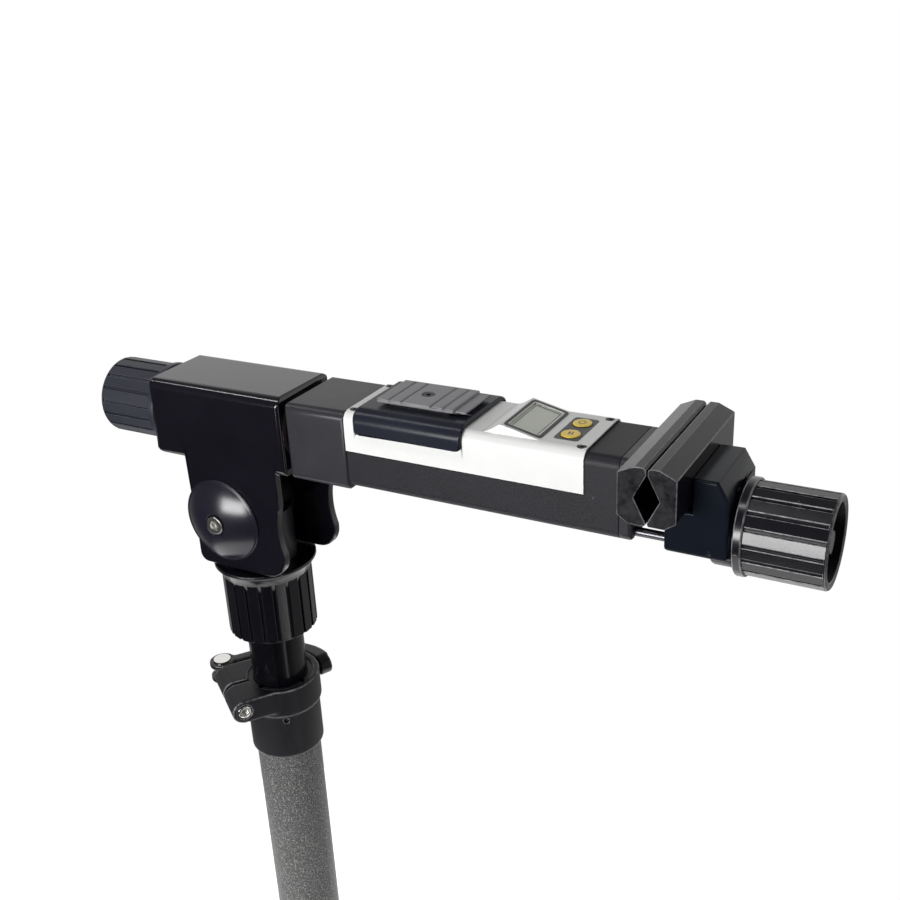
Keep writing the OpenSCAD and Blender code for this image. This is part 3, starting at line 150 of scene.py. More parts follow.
def place_at(centre: Vector, axis: Axis) -> Matrix:
    """Matrix that sets a shape's own origin at a point, with its own Z along an axis."""
    return Matrix.Translation(centre) @ axis.value.to_4x4()


def arc(radius: float, first: float, last: float, steps: int) -> Outline:
    """Points on an arc about the origin.

    Args:
        radius: Radius of the arc.
        first: Direction of its first point, in degrees.
        last: Direction of its last point, in degrees.
        steps: Pieces in the arc.

    Returns:
        The arc's points with both ends.
    """
    turns = [math.radians(first + (last - first) * step / steps) for step in range(steps + 1)]
    return [(radius * math.cos(turn), radius * math.sin(turn)) for turn in turns]


def circle(radius: float, steps: int) -> Outline:
    """Points on a full circle about the origin."""
    return arc(radius, 0.0, 360.0, steps)[:-1]


def rounded_path(corners: list[Corner], closed: bool, steps: int = 6) -> Outline:
    """Replace each corner of a path by an arc.

    Args:
        corners: Points as x, y and corner radius.
        closed: True where the last point joins the first.
        steps: Pieces in each arc.

    Returns:
        The points of the rounded path.
    """
    path: Outline = []
    count = len(corners)
    for index, (x, y, radius) in enumerate(corners):
        ends = not closed and index in (0, count - 1)
        if radius <= 0 or ends:
            path.append((x, y))
            continue
        here = Vector((x, y))
        before = (Vector(corners[index - 1][:2]) - here).normalized()
        after = (Vector(corners[(index + 1) % count][:2]) - here).normalized()
        half = before.angle(after) / 2
        centre = here + (before + after).normalized() * (radius / math.sin(half))
        start = here + before * (radius / math.tan(half)) - centre
        finish = here + after * (radius / math.tan(half)) - centre
        sweep = start.angle_signed(finish)
        for step in range(steps + 1):
            turn = Matrix.Rotation(-sweep * step / steps, 2)
            path.append(tuple(centre + turn @ start))
    return path


@dataclass(frozen=True)
class Oblong:
    """A rectangle with round corners about the origin."""

    length: float
    width: float
    radius: float

    def inset(self, gap: float, radius: float) -> "Oblong":
        """The oblong that lies inside this one by a gap, with its own corner radius."""
        return Oblong(self.length - 2 * gap, self.width - 2 * gap, radius)

    def outline(self) -> Outline:
        """Points of the oblong's outline."""
        x, y, radius = self.length / 2, self.width / 2, self.radius
        return rounded_path([(-x, -y, radius), (x, -y, radius), (x, y, radius), (-x, y, radius)], closed=True)


def put(name: str, data: bpy.types.ID) -> bpy.types.Object:
    """Put a new object in the scene.

    Args:
        name: Name of the object.
        data: Its mesh, camera or lamp.

    Returns:
        The object.
    """
    made = bpy.data.objects.new(name, data)
    bpy.context.scene.collection.objects.link(made)
    return made


class Draft:
    """A mesh under construction, in millimetres, from shapes that stand along their own Z axis."""

    def __init__(self) -> None:
        """Start with an empty mesh."""
        self.mesh = bmesh.new()

    def _ring(self, outline: Outline, height: float, place: Matrix) -> list[bmesh.types.BMVert]:
        """New corners of an outline at a height."""
        return [self.mesh.verts.new(place @ Vector((x, y, height))) for x, y in outline]

    def _bridge(self, lower: list[bmesh.types.BMVert], upper: list[bmesh.types.BMVert]) -> None:
        """Join two rings of corners by faces.

        Args:
            lower: Corners of one ring, or the single corner of a pole.
            upper: Corners of the next ring, or the single corner of a pole.
        """
        count = max(len(lower), len(upper))
        for step in range(count):
            after = (step + 1) % count
            loop = [lower[step % len(lower)], lower[after % len(lower)],
                    upper[after % len(upper)], upper[step % len(upper)]]
            corners = list(dict.fromkeys(loop))
            if len(corners) > 2:
                self.mesh.faces.new(corners)

    def loft(self, sections: list[tuple[Outline, float]], place: Matrix, capped: bool = True,
             closed: bool = False) -> "Draft":
        """Join outlines by a skin.

        Args:
            sections: Outlines, each with its height; an outline of one point is a pole.
            place: Matrix that sets the shape in its place.
            capped: True to close the first and the last outline by a face.
            closed: True where the last outline joins the first.

        Returns:
            This draft.
        """
        rings = [self._ring(outline, height, place) for outline, height in sections]
        for lower, upper in zip(rings, rings[1:]):
            self._bridge(lower, upper)
        if closed:
            self._bridge(rings[-1], rings[0])
        if capped:
            self.mesh.faces.new(rings[0][::-1])
            self.mesh.faces.new(rings[-1])
        return self

    def lathe(self, profile: Outline, place: Matrix, steps: int = 128, closed: bool = False) -> "Draft":
        """Turn a profile about its own Z axis.

        Args:
            profile: Points as radius and height; a radius of zero closes a pole.
            place: Matrix that sets the turned shape in its place.
            steps: Steps round the axis.
            closed: True where the profile's last point joins its first.

        Returns:
            This draft.
        """
        pole = [(0.0, 0.0)]
        sections = [(circle(radius, steps) if radius > 0 else pole, height) for radius, height in profile]
        return self.loft(sections, place, capped=False, closed=closed)

    def prism(self, outline: Outline, depth: float, place: Matrix) -> "Draft":
        """Sweep a closed outline along its own Z axis."""
        return self.loft([(outline, 0.0), (outline, depth)], place)

    def plate(self, loops: list[Outline], depth: float, place: Matrix) -> "Draft":
        """Sweep an outline with holes along its own Z axis.

        Args:
            loops: The outer outline and the outlines of the holes.
            depth: Thickness of the plate.
            place: Matrix that sets the plate in its place.

        Returns:
            This draft.
        """
        edges = []
        for loop in loops:
            corners = self._ring(loop, 0.0, place)
            edges += [self.mesh.edges.new(ends) for ends in zip(corners, corners[-1:] + corners[:-1])]
        filled = bmesh.ops.triangle_fill(self.mesh, edges=edges, use_beauty=True)
        faces = [item for item in filled["geom"] if isinstance(item, bmesh.types.BMFace)]
        grown = bmesh.ops.extrude_face_region(self.mesh, geom=faces, use_keep_orig=True)
        raised = [item for item in grown["geom"] if isinstance(item, bmesh.types.BMVert)]
        bmesh.ops.translate(self.mesh, verts=raised, vec=place.to_3x3() @ Vector((0, 0, depth)))
        return self

    def add(self, data: bpy.types.Mesh, place: Matrix) -> "Draft":
        """Take in a ready mesh.

        Args:
            data: The mesh, which is removed afterwards.
            place: Matrix that sets it in its place.

        Returns:
            This draft.
        """
        data.transform(place)
        self.mesh.from_mesh(data)
        bpy.data.meshes.remove(data)
        return self

    def finish(self, name: str) -> bpy.types.Object:
        """Close the mesh and put it in the scene, in metres.

        Args:
            name: Name of the new piece.

        Returns:
            The piece, at the origin, with its place in its mesh.
        """
        bmesh.ops.recalc_face_normals(self.mesh, faces=self.mesh.faces)
        self.mesh.transform(Matrix.Scale(MM, 4))
        data = bpy.data.meshes.new(name)
        self.mesh.to_mesh(data)
        self.mesh.free()
        return put(name, data)


def weld(piece: bpy.types.Object) -> None:
    """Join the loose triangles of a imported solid."""
    piece.modifiers.new("join", "WELD").merge_threshold = WELD_GAP


def smooth(piece: bpy.types.Object) -> None:
    """Shade a piece smoothly."""
    piece.data.polygons.foreach_set("use_smooth", [True] * len(piece.data.polygons))


def crisp(piece: bpy.types.Object, angle: float = 38.0) -> None:
    """Shade a piece smoothly, but for edges sharper than an angle in degrees."""
    smooth(piece)
    piece.data.set_sharp_from_angle(angle=math.radians(angle))


def flatten(piece: bpy.types.Object, weight: int = 80) -> None:
    """Let a piece's broad faces look flat beside their rounded edges.

    Args:
        piece: The piece to shade.
        weight: How much more the broad faces count than the narrow ones.
    """
    shade = piece.modifiers.new("shading", "WEIGHTED_NORMAL")
    shade.keep_sharp = True
    shade.weight = weight


def soften(piece: bpy.types.Object, width: float, steps: int = 2, angle: float = 35.0) -> None:
    """Round a piece's sharp edges so that they catch the light.

    Args:
        piece: The piece to round.
        width: Width of the rounding, in millimetres.
        steps: Steps across the rounding.
        angle: Edges sharper than this many degrees are rounded.
    """
    smooth(piece)
    bevel = piece.modifiers.new("edges", "BEVEL")
    bevel.width = width * MM
    bevel.segments = steps
    bevel.limit_method = "ANGLE"
    bevel.angle_limit = math.radians(angle)
    bevel.use_clamp_overlap = False
    flatten(piece)


def plain_mesh(piece: bpy.types.Object) -> bpy.types.Mesh:
    """What a piece's modifiers make of it, as a mesh of its own."""
    return bpy.data.meshes.new_from_object(piece.evaluated_get(bpy.context.evaluated_depsgraph_get()))


def settle(piece: bpy.types.Object, straight: float = 0.15) -> None:
    """Turn a piece's modifiers into a plain mesh and note on each face how tightly it bends outwards.

    Args:
        piece: The piece to settle.
        straight: Bend, in radians per half millimetre, under which a face counts as straight.
    """
    settled, before = plain_mesh(piece), piece.data
    piece.modifiers.clear()
    piece.data = settled
    bpy.data.meshes.remove(before)
    work = bmesh.new()
    work.from_mesh(settled)
    bends = []
    for face in work.faces:
        edges = [edge for edge in face.edges if edge.is_manifold]
        turn = sum(edge.calc_face_angle_signed(0.0) * edge.calc_length() for edge in edges)
        bends.append(clamped(turn / max(face.calc_area(), SMALLEST_AREA) * MM / 2 - straight))
    work.free()
    mark = settled.attributes.new("edge_level", "FLOAT", "FACE")
    mark.data.foreach_set("value", bends)


def discard(piece: bpy.types.Object) -> None:
    """Remove a helper object and its mesh.

    Args:
        piece: The helper object.
    """
    spent = piece.data
    bpy.data.objects.remove(piece)
    bpy.data.meshes.remove(spent)


def copy_of(node: str, name: str) -> bpy.types.Object:
    """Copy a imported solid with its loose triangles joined.

    Args:
        node: Name of the solid.
        name: Name of the copy.

    Returns:
        The copy, which still has to be settled.
    """
    piece = put(name, bpy.data.objects[node].data.copy())
    weld(piece)
    return piece


def carve(piece: bpy.types.Object, tool: bpy.types.Object, cut: Cut, edge: float = 0.0) -> None:
    """Cut a piece with another and settle it.

    Args:
        piece: The piece to change.
        tool: The other piece, which is discarded.
        cut: What the tool does.
        edge: Width of the piece's rounded edges, in millimetres; zero leaves them as cut.
    """
    change = piece.modifiers.new(tool.name, "BOOLEAN")
    change.object = tool
    change.operation = cut.value
    if edge > 0:
        soften(piece, edge)
    settle(piece)
    discard(tool)


def recast(node: str, grid_mm: float, rounds: int) -> bpy.types.Object:
    """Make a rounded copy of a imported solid, as a casting has no sharp edges.

    Args:
        node: Name of the solid.
        grid_mm: Size of the new mesh's faces.
        rounds: Passes of smoothing.

    Returns:
        The copy, as a plain mesh.
    """
    piece = copy_of(node, f"{node}_casting")
    grid = piece.modifiers.new("grid", "REMESH")
    grid.mode = "VOXEL"
    grid.voxel_size = grid_mm * MM
    grid.use_smooth_shade = True
    piece.modifiers.new("round", "SMOOTH").iterations = rounds
    settle(piece)
    return piece


def dress(piece: bpy.types.Object, look: "Look") -> None:
    """Give a piece its finish."""
    piece.data.materials.clear()
    piece.data.materials.append(look.value.material())


def attach(piece: bpy.types.Object, body: str, look: "Look", *nodes: str) -> None:
    """Give a piece its finish and tie it to the frame.

    Args:
        piece: The finished piece.
        body: Body that it moves with.
        look: Its finish.
        *nodes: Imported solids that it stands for.
    """
    dress(piece, look)
    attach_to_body(piece, body)
    if nodes:
        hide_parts(*nodes)
    LOG.info("built %s", piece.name)


def make(draft: Draft, name: str, body: str, look: "Look", *nodes: str, edge: float = 0.0, steps: int = 2,
         angle: float = 38.0) -> None:
    """Make a draft a piece of the stand.

    Args:
        draft: The drafted shape.
        name: Name of the piece.
        body: Body that it moves with.
        look: Its finish.
        *nodes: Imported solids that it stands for.
        edge: Width of its rounded edges, in millimetres; zero leaves them sharp.
        steps: Steps across a rounded edge.
        angle: Edges sharper than this many degrees are rounded or look sharp.
    """
    piece = draft.finish(name)
    if edge > 0:
        soften(piece, edge, steps, angle)
        settle(piece)
    else:
        crisp(piece, angle)
    attach(piece, body, look, *nodes)


class Effect(Enum):
    """Effects that several finishes share, by the names of their shader groups."""

    GRAIN = "surface_grain"
    WEAR = "handling_wear"
    SPECKLE = "coat_speckle"
    BRUSHING = "metal_brushing"


class NodeDraft:
    """A node tree under construction, for a material, a shared group or a geometry tree."""

    def __init__(self, tree: bpy.types.NodeTree) -> None:
        """Work on the given tree."""
        self.tree = tree

    def feed(self, socket: bpy.types.NodeSocket, value: object) -> None:
        """Give an input its value.

        Args:
            socket: The input.
            value: An output to link to it, or a plain value.
        """
        if isinstance(value, bpy.types.NodeSocket):
            self.tree.links.new(value, socket)
        else:
            socket.default_value = value

    def node(self, kind: str, **values: object) -> bpy.types.Node:
        """Add a node and set its settings and inputs.

        Args:
            kind: Blender's name of the node.
            **values: Settings by attribute name, and inputs by socket name with underscores for spaces.

        Returns:
            The new node.
        """
        made = self.tree.nodes.new(kind)
        for key, value in values.items():
            if hasattr(made, key):
                setattr(made, key, value)
            else:
                self.feed(made.inputs[key.replace("_", " ")], value)
        return made

    def math(self, operation: str, first: object, second: object = 0.0,
             clamp: bool = False) -> bpy.types.NodeSocket:
        """Add a Math node.

        Args:
            operation: Blender's name of the operation.
            first: Socket or number.
            second: Socket or number.
            clamp: True to hold the result between zero and one.

        Returns:
            The node's output.
        """
        made = self.node("ShaderNodeMath", operation=operation, use_clamp=clamp)
        for socket, value in zip(made.inputs, (first, second)):
            self.feed(socket, value)
        return made.outputs[0]

    def above(self, value: object, level: object, gain: float) -> bpy.types.NodeSocket:
        """Mask of where a value lies above a level; the gain sets how sharply it starts."""
        return self.math("MULTIPLY", self.math("SUBTRACT", value, level), gain, clamp=True)

    def mix(self, factor: object, first: object, second: object) -> bpy.types.NodeSocket:
        """Mix two colours.

        Args:
            factor: Socket or number from zero to one.
            first: Colour or socket at zero.
            second: Colour or socket at one.

        Returns:
            The mixed colour's output.
        """
        made = self.node("ShaderNodeMix", data_type="RGBA")
        colour_inputs = [socket for socket in made.inputs if socket.type == "RGBA"]
        for socket, value in zip((made.inputs[0], *colour_inputs), (factor, first, second)):
            self.feed(socket, value)
        return next(socket for socket in made.outputs if socket.type == "RGBA")

    def noise(self, where: bpy.types.NodeSocket, scale: object, detail: float,
              roughness: float = 0.5) -> bpy.types.NodeSocket:
        """Output of a new noise texture."""
        made = self.node("ShaderNodeTexNoise", Vector=where, Scale=scale, Detail=detail, Roughness=roughness)
        return made.outputs["Fac"]

    def effect(self, effect: Effect, where: bpy.types.NodeSocket, **values: float) -> bpy.types.NodeOutputs:
        """Outputs of a shared effect, placed with its own values."""
        group = SurfaceGroups.get(effect)
        return self.node("ShaderNodeGroup", node_tree=group, Vector=where, **values).outputs


class SurfaceGroups:
    """The shader groups of the shared effects, each built once."""

    wear_start: float = 0.47
    wear_reach: float = 0.16
    wear_gain: float = 14.0
    wear_patches: float = 45.0
    speck_start: float = 0.53
    speck_gain: float = 9.0

    @classmethod
    def get(cls, effect: Effect) -> bpy.types.ShaderNodeTree:
        """The group of an effect, built when it is first asked for.

        Args:
            effect: The effect.

        Returns:
            The group's node tree.
        """
        builders = {Effect.GRAIN: cls._grain, Effect.WEAR: cls._wear, Effect.SPECKLE: cls._speckle,
                    Effect.BRUSHING: cls._brushing}
        return bpy.data.node_groups.get(effect.value) or builders[effect]()

    @staticmethod
    def _start(effect: Effect, inputs: dict[str, float],
               outputs: list[str]) -> tuple[NodeDraft, bpy.types.NodeOutputs, bpy.types.NodeInputs]:
        """Open a group with a vector input, number inputs and number outputs.

        Args:
            effect: The group's effect.
            inputs: Number inputs with their default values.
            outputs: Names of the outputs.

        Returns:
            The draft, what the group's inputs give, and what its outputs take.
        """
        tree = bpy.data.node_groups.new(effect.value, "ShaderNodeTree")
        tree.interface.new_socket("Vector", in_out="INPUT", socket_type="NodeSocketVector")
        for key, value in inputs.items():
            socket = tree.interface.new_socket(key, in_out="INPUT", socket_type="NodeSocketFloat")
            socket.default_value = value
        for key in outputs:
            tree.interface.new_socket(key, in_out="OUTPUT", socket_type="NodeSocketFloat")
        start, end = tree.nodes.new("NodeGroupInput"), tree.nodes.new("NodeGroupOutput")
        return NodeDraft(tree), start.outputs, end.inputs

    @classmethod
    def _grain(cls) -> bpy.types.ShaderNodeTree:
        """Fine texture of a coated or moulded surface, with a slow change of tone.

        Returns:
            The group's node tree.
        """
        sizes = {"Scale": 900.0, "Patch Scale": 28.0}
        draft, given, taken = cls._start(Effect.GRAIN, sizes, ["Height", "Tone"])
        fine = draft.noise(given["Vector"], given["Scale"], detail=4.0, roughness=0.6)
        slow = draft.noise(given["Vector"], given["Patch Scale"], detail=5.0, roughness=0.62)
        draft.feed(taken["Height"], fine)
        draft.feed(taken["Tone"], slow)
        return draft.tree

    @classmethod
    def _wear(cls) -> bpy.types.ShaderNodeTree:
        """Short scratches and rubbed specks from handling.

        Returns:
            The group's node tree.
        """
        draft, given, taken = cls._start(Effect.WEAR, {"Scale": 60.0, "Amount": 0.3}, ["Mask"])
        stretch = draft.node("ShaderNodeMapping", Vector=given["Vector"], Scale=(1.0, 0.12, 2.2),
                             Rotation=(0.3, 0.5, 0.7))
        lines = draft.noise(stretch.outputs[0], given["Scale"], detail=6.0, roughness=0.7)
        patches = draft.noise(given["Vector"], cls.wear_patches, detail=3.0)
        reach = draft.math("MULTIPLY", given["Amount"], cls.wear_reach)
        start = draft.math("SUBTRACT", cls.wear_start, reach)
        draft.feed(taken["Mask"], draft.above(draft.math("MULTIPLY", lines, patches), start, cls.wear_gain))
        return draft.tree

    @classmethod
    def _speckle(cls) -> bpy.types.ShaderNodeTree:
        """Small pale dots of a flecked powder coat.

        Returns:
            The group's node tree.
        """
        draft, given, taken = cls._start(Effect.SPECKLE, {"Scale": 1100.0}, ["Mask"])
        dots = draft.noise(given["Vector"], given["Scale"], detail=2.0)
        draft.feed(taken["Mask"], draft.above(dots, cls.speck_start, cls.speck_gain))
        return draft.tree

    @classmethod
    def _brushing(cls) -> bpy.types.ShaderNodeTree:
        """Fine lines of turned or brushed metal across the X axis.

        Returns:
            The group's node tree.
        """
        draft, given, taken = cls._start(Effect.BRUSHING, {"Scale": 700.0}, ["Tone"])
        stretch = draft.node("ShaderNodeMapping", Vector=given["Vector"], Scale=(1.0, 0.03, 0.03))
        draft.feed(taken["Tone"], draft.noise(stretch.outputs[0], given["Scale"], detail=3.0))
        return draft.tree


@dataclass(frozen=True)
class Finish:
    """A surface finish: colour, gloss, fine grain, marks of use, and pale edge marks that are partly wear and
    partly painted highlight.
    """

    slot: str
    colour: Colour
    roughness: float
    metallic: float = 0.0
    grain_mm: float = 0.8
    grain_strength: float = 0.08
    mottle: float = 0.12
    wear: float = 0.0
    mark_and_sheen_colour: Colour = (120, 120, 122)
    brushed: bool = False
    specular: float = 0.5
    coat: float = 0.0
    edge_wear_and_sheen: float = 0.0
    end_mm: float = 0.0
    speckle: float = 0.0
    alpha: float = 1.0
    variant: str = "finish"
    cells_per_grain: ClassVar[float] = 0.6
    grain_height: ClassVar[float] = 0.0003
    tone_gloss: ClassVar[float] = 0.16
    wear_gloss: ClassVar[float] = 0.15
    coat_roughness: ClassVar[float] = 0.08
    mark_break_scale: ClassVar[float] = 160.0
    mark_break_start: ClassVar[float] = 0.3
    mark_break_gain: ClassVar[float] = 3.2
    end_gain: ClassVar[float] = 4000.0
    end_level: ClassVar[float] = 0.1

    def material(self) -> bpy.types.Material:
        """Build the finish's material, or give the one that was built before."""
        name = f"{self.slot}_{self.variant}"
        return bpy.data.materials.get(name) or self._build(name)

    def _build(self, name: str) -> bpy.types.Material:
        """Build the finish's material.

        Args:
            name: Name of the material.

        Returns:
            The new material.
        """
        made = bpy.data.materials.new(name)
        made.use_nodes = True
        draft = NodeDraft(made.node_tree)
        where = draft.node("ShaderNodeTexCoord").outputs["Object"]
        grain = draft.effect(Effect.GRAIN, where, Scale=self.cells_per_grain / (self.grain_mm * MM))
        tone = draft.effect(Effect.BRUSHING, where)["Tone"] if self.brushed else grain["Tone"]
        base, mark_sheen_tint = linear(self.colour), linear(self.mark_and_sheen_colour)
        dark = (*(part * (1 - self.mottle) for part in base[:3]), 1.0)
        light = (*(min(1.0, part * (1 + self.mottle)) for part in base[:3]), 1.0)
        colour = draft.mix(tone, dark, light)
        change = draft.math("MULTIPLY", draft.math("SUBTRACT", tone, 0.5), self.tone_gloss)
        rough = draft.math("ADD", self.roughness, change)
        if self.wear > 0:
            mask = draft.effect(Effect.WEAR, where, Amount=self.wear)["Mask"]
            colour = draft.mix(mask, colour, mark_sheen_tint)
            rough = draft.math("ADD", rough, draft.math("MULTIPLY", mask, self.wear_gloss), clamp=True)
        # Pale edges and ends: rubbed wear, and on some finishes painted highlight along the edges.
        if self.edge_wear_and_sheen > 0 or self.end_mm > 0:
            colour = draft.mix(self._rub_and_sheen_mask(draft, where), colour, mark_sheen_tint)
        if self.speckle > 0:
            dots = draft.effect(Effect.SPECKLE, where)["Mask"]
            colour = draft.mix(draft.math("MULTIPLY", dots, self.speckle), colour, mark_sheen_tint)
        bump = draft.node("ShaderNodeBump", Strength=self.grain_strength, Distance=self.grain_height,
                          Height=grain["Height"])
        settings = {"Base Color": colour, "Roughness": rough, "Normal": bump.outputs["Normal"],
                    "Metallic": self.metallic, "Specular IOR Level": self.specular, "Coat Weight": self.coat,
                    "Coat Roughness": self.coat_roughness, "Alpha": self.alpha}
        for key, value in settings.items():
            draft.feed(made.node_tree.nodes["Principled BSDF"].inputs[key], value)
        made.diffuse_color = base
        return made

    def _rub_and_sheen_mask(self, draft: NodeDraft, where: bpy.types.NodeSocket) -> bpy.types.NodeSocket:
        """Mask of the outer edges and the ends that use has rubbed; on the jaw knob and the clamp the edge
        part is painted highlight as well as wear.

        Args:
            draft: The material's draft.
            where: Socket with the surface's coordinates.

        Returns:
            The mask.
        """
        patches = draft.noise(where, self.mark_break_scale, detail=6.0, roughness=0.65)
        broken = draft.above(patches, self.mark_break_start, self.mark_break_gain)
        edge = draft.node("ShaderNodeAttribute", attribute_name="edge_level").outputs["Fac"]
        level = draft.math("MULTIPLY", draft.math("MULTIPLY", edge, broken), self.edge_wear_and_sheen, clamp=True)
        if self.end_mm > 0:
            along = draft.math("ABSOLUTE", draft.node("ShaderNodeSeparateXYZ", Vector=where).outputs["Y"])
            end = draft.math("MULTIPLY", draft.above(along, self.end_mm * MM, self.end_gain), broken)
            level = draft.math("MAXIMUM", level, draft.math("MULTIPLY", end, self.end_level))
        return level


class Look(Enum):
    """The stand's finishes, each for a material slot of the record."""

    TUBE = Finish("speckled_grey_tube", (74, 74, 75), 0.42, 0.2, 0.6, 0.3, 0.3, mark_and_sheen_colour=(168, 167, 163),
                  speckle=0.8)
    BLACK_TUBE = Finish("black_tube", (9, 8, 13), 0.18, mottle=0.2, specular=0.35, wear=0.05,
                        mark_and_sheen_colour=(70, 70, 76))
    GLOSS_CASTING = Finish("gloss_black_casting", (18, 16, 24), 0.16, grain_strength=0.03, mottle=0.2,
                           coat=0.2, wear=0.04, mark_and_sheen_colour=(66, 64, 70))
    JAW_CASTING = Finish("gloss_black_casting", (20, 24, 33), 0.22, grain_strength=0.06, mottle=0.2,
                         specular=0.12, wear=0.08, mark_and_sheen_colour=(90, 90, 96), variant="jaw")
    SATIN_CASTING = Finish("satin_black_casting", (36, 35, 42), 0.4, grain_strength=0.2, mottle=0.2)
    BEAM = Finish("charcoal_beam", (22, 20, 28), 0.5, grain_mm=0.7, grain_strength=0.6, mottle=0.4, wear=0.15,
                  specular=0.36)
    # The clamp's pale edge lines are partly wear and partly painted highlight along the casting's edges.
    CLAMP = Finish("clamp_grey", (11, 11, 17), 0.36, grain_strength=0.25, mottle=0.2,
                   mark_and_sheen_colour=(150, 150, 156), specular=0.3, edge_wear_and_sheen=0.8)
    LEVER = Finish("black_lever", (17, 17, 20), 0.3, mark_and_sheen_colour=(110, 110, 112), edge_wear_and_sheen=0.4)
    TRIPOD = Finish("tripod_black", (30, 30, 34), 0.42, grain_strength=0.2)
    BRIGHT_STEEL = Finish("bright_steel", (228, 226, 221), 0.22, 1.0, brushed=True)
    SHOE_SCREW = Finish("bright_steel", (38, 38, 40), 0.35, 0.9, variant="blackened")
    RIVET = Finish("bright_steel", (250, 247, 241), 0.16, 1.0, variant="rivet")
    DARK_STEEL = Finish("dark_steel", (92, 92, 96), 0.3, 1.0, brushed=True)
    SCREW_STEEL = Finish("screw_steel", (52, 52, 54), 0.35, 0.8)
    SILVER = Finish("scale_silver", (234, 235, 233), 0.5, 0.05, 0.5, 0.1, 0.05, wear=0.05, specular=0.25)
    CELL = Finish("cell_aluminium", (190, 191, 192), 0.35, 1.0, brushed=True)
    KNOB = Finish("knob_plastic", (38, 40, 51), 0.42, grain_strength=0.25, mottle=0.15,
                  mark_and_sheen_colour=(110, 112, 124), edge_wear_and_sheen=0.16)
    # The jaw knob's pale edge colour and edge level paint highlight lines along the rib edges, with a little
    # wear.
    JAW_KNOB = Finish("jaw_knob_plastic", (20, 18, 24), 0.22, grain_strength=0.06, mottle=0.25, wear=0.1,
                      mark_and_sheen_colour=(196, 194, 198), edge_wear_and_sheen=0.5)
    COLLAR = Finish("collar_plastic", (13, 13, 19), 0.17, mottle=0.2, mark_and_sheen_colour=(90, 90, 96),
                    edge_wear_and_sheen=0.08)
    CAP = Finish("cap_plastic", (28, 26, 37), 0.22, grain_strength=0.05, mottle=0.15, wear=0.08,
                 mark_and_sheen_colour=(90, 88, 98))
    BUSH = Finish("bush_plastic", (214, 208, 190), 0.5)
    NYLON = Finish("black_nylon", (22, 22, 23), 0.5)
    FIBRE = Finish("disc_fibre", (82, 72, 66), 0.8, grain_strength=0.5, mottle=0.4)
    SADDLE = Finish("saddle_plastic", (36, 38, 48), 0.25, grain_strength=0.06, mottle=0.2, specular=0.2)
    SHOE = Finish("shoe_grey", (128, 128, 131), 0.42, grain_strength=0.3, mottle=0.2, wear=0.2,
                  mark_and_sheen_colour=(150, 150, 152))
    BEZEL = Finish("bezel_grey", (50, 54, 51), 0.4, grain_strength=0.1)
    WELL = Finish("bezel_grey", (226, 228, 224), 0.35, grain_strength=0.05, variant="well")
    MARK = Finish("bezel_grey", (44, 35, 20), 0.5, variant="mark")
    PANEL = Finish("liquid_crystal", (226, 228, 218), 0.3, grain_strength=0.0, mottle=0.06)
    LENS = Finish("clear_lens", (176, 180, 172), 0.05, grain_strength=0.0, mottle=0.0, specular=1.0,
                  alpha=0.08)
    GOLD = Finish("gold_button", (255, 212, 76), 0.28, grain_strength=0.1)
    BOARD = Finish("board_green", (40, 108, 58), 0.45)
    BATTERY = Finish("cell_steel", (206, 206, 207), 0.25, 1.0, brushed=True)
    BRASS = Finish("nut_brass", (206, 168, 92), 0.3, 1.0, brushed=True)
    PAD = Finish("pad_rubber", (19, 18, 23), 0.2, grain_mm=1.2, grain_strength=0.1, mottle=0.35, specular=0.3,
                 wear=0.25, mark_and_sheen_colour=(150, 149, 152), edge_wear_and_sheen=0.7, end_mm=52.2)
    FOOT = Finish("foot_rubber", (30, 30, 31), 0.65, grain_strength=0.4, mottle=0.2)


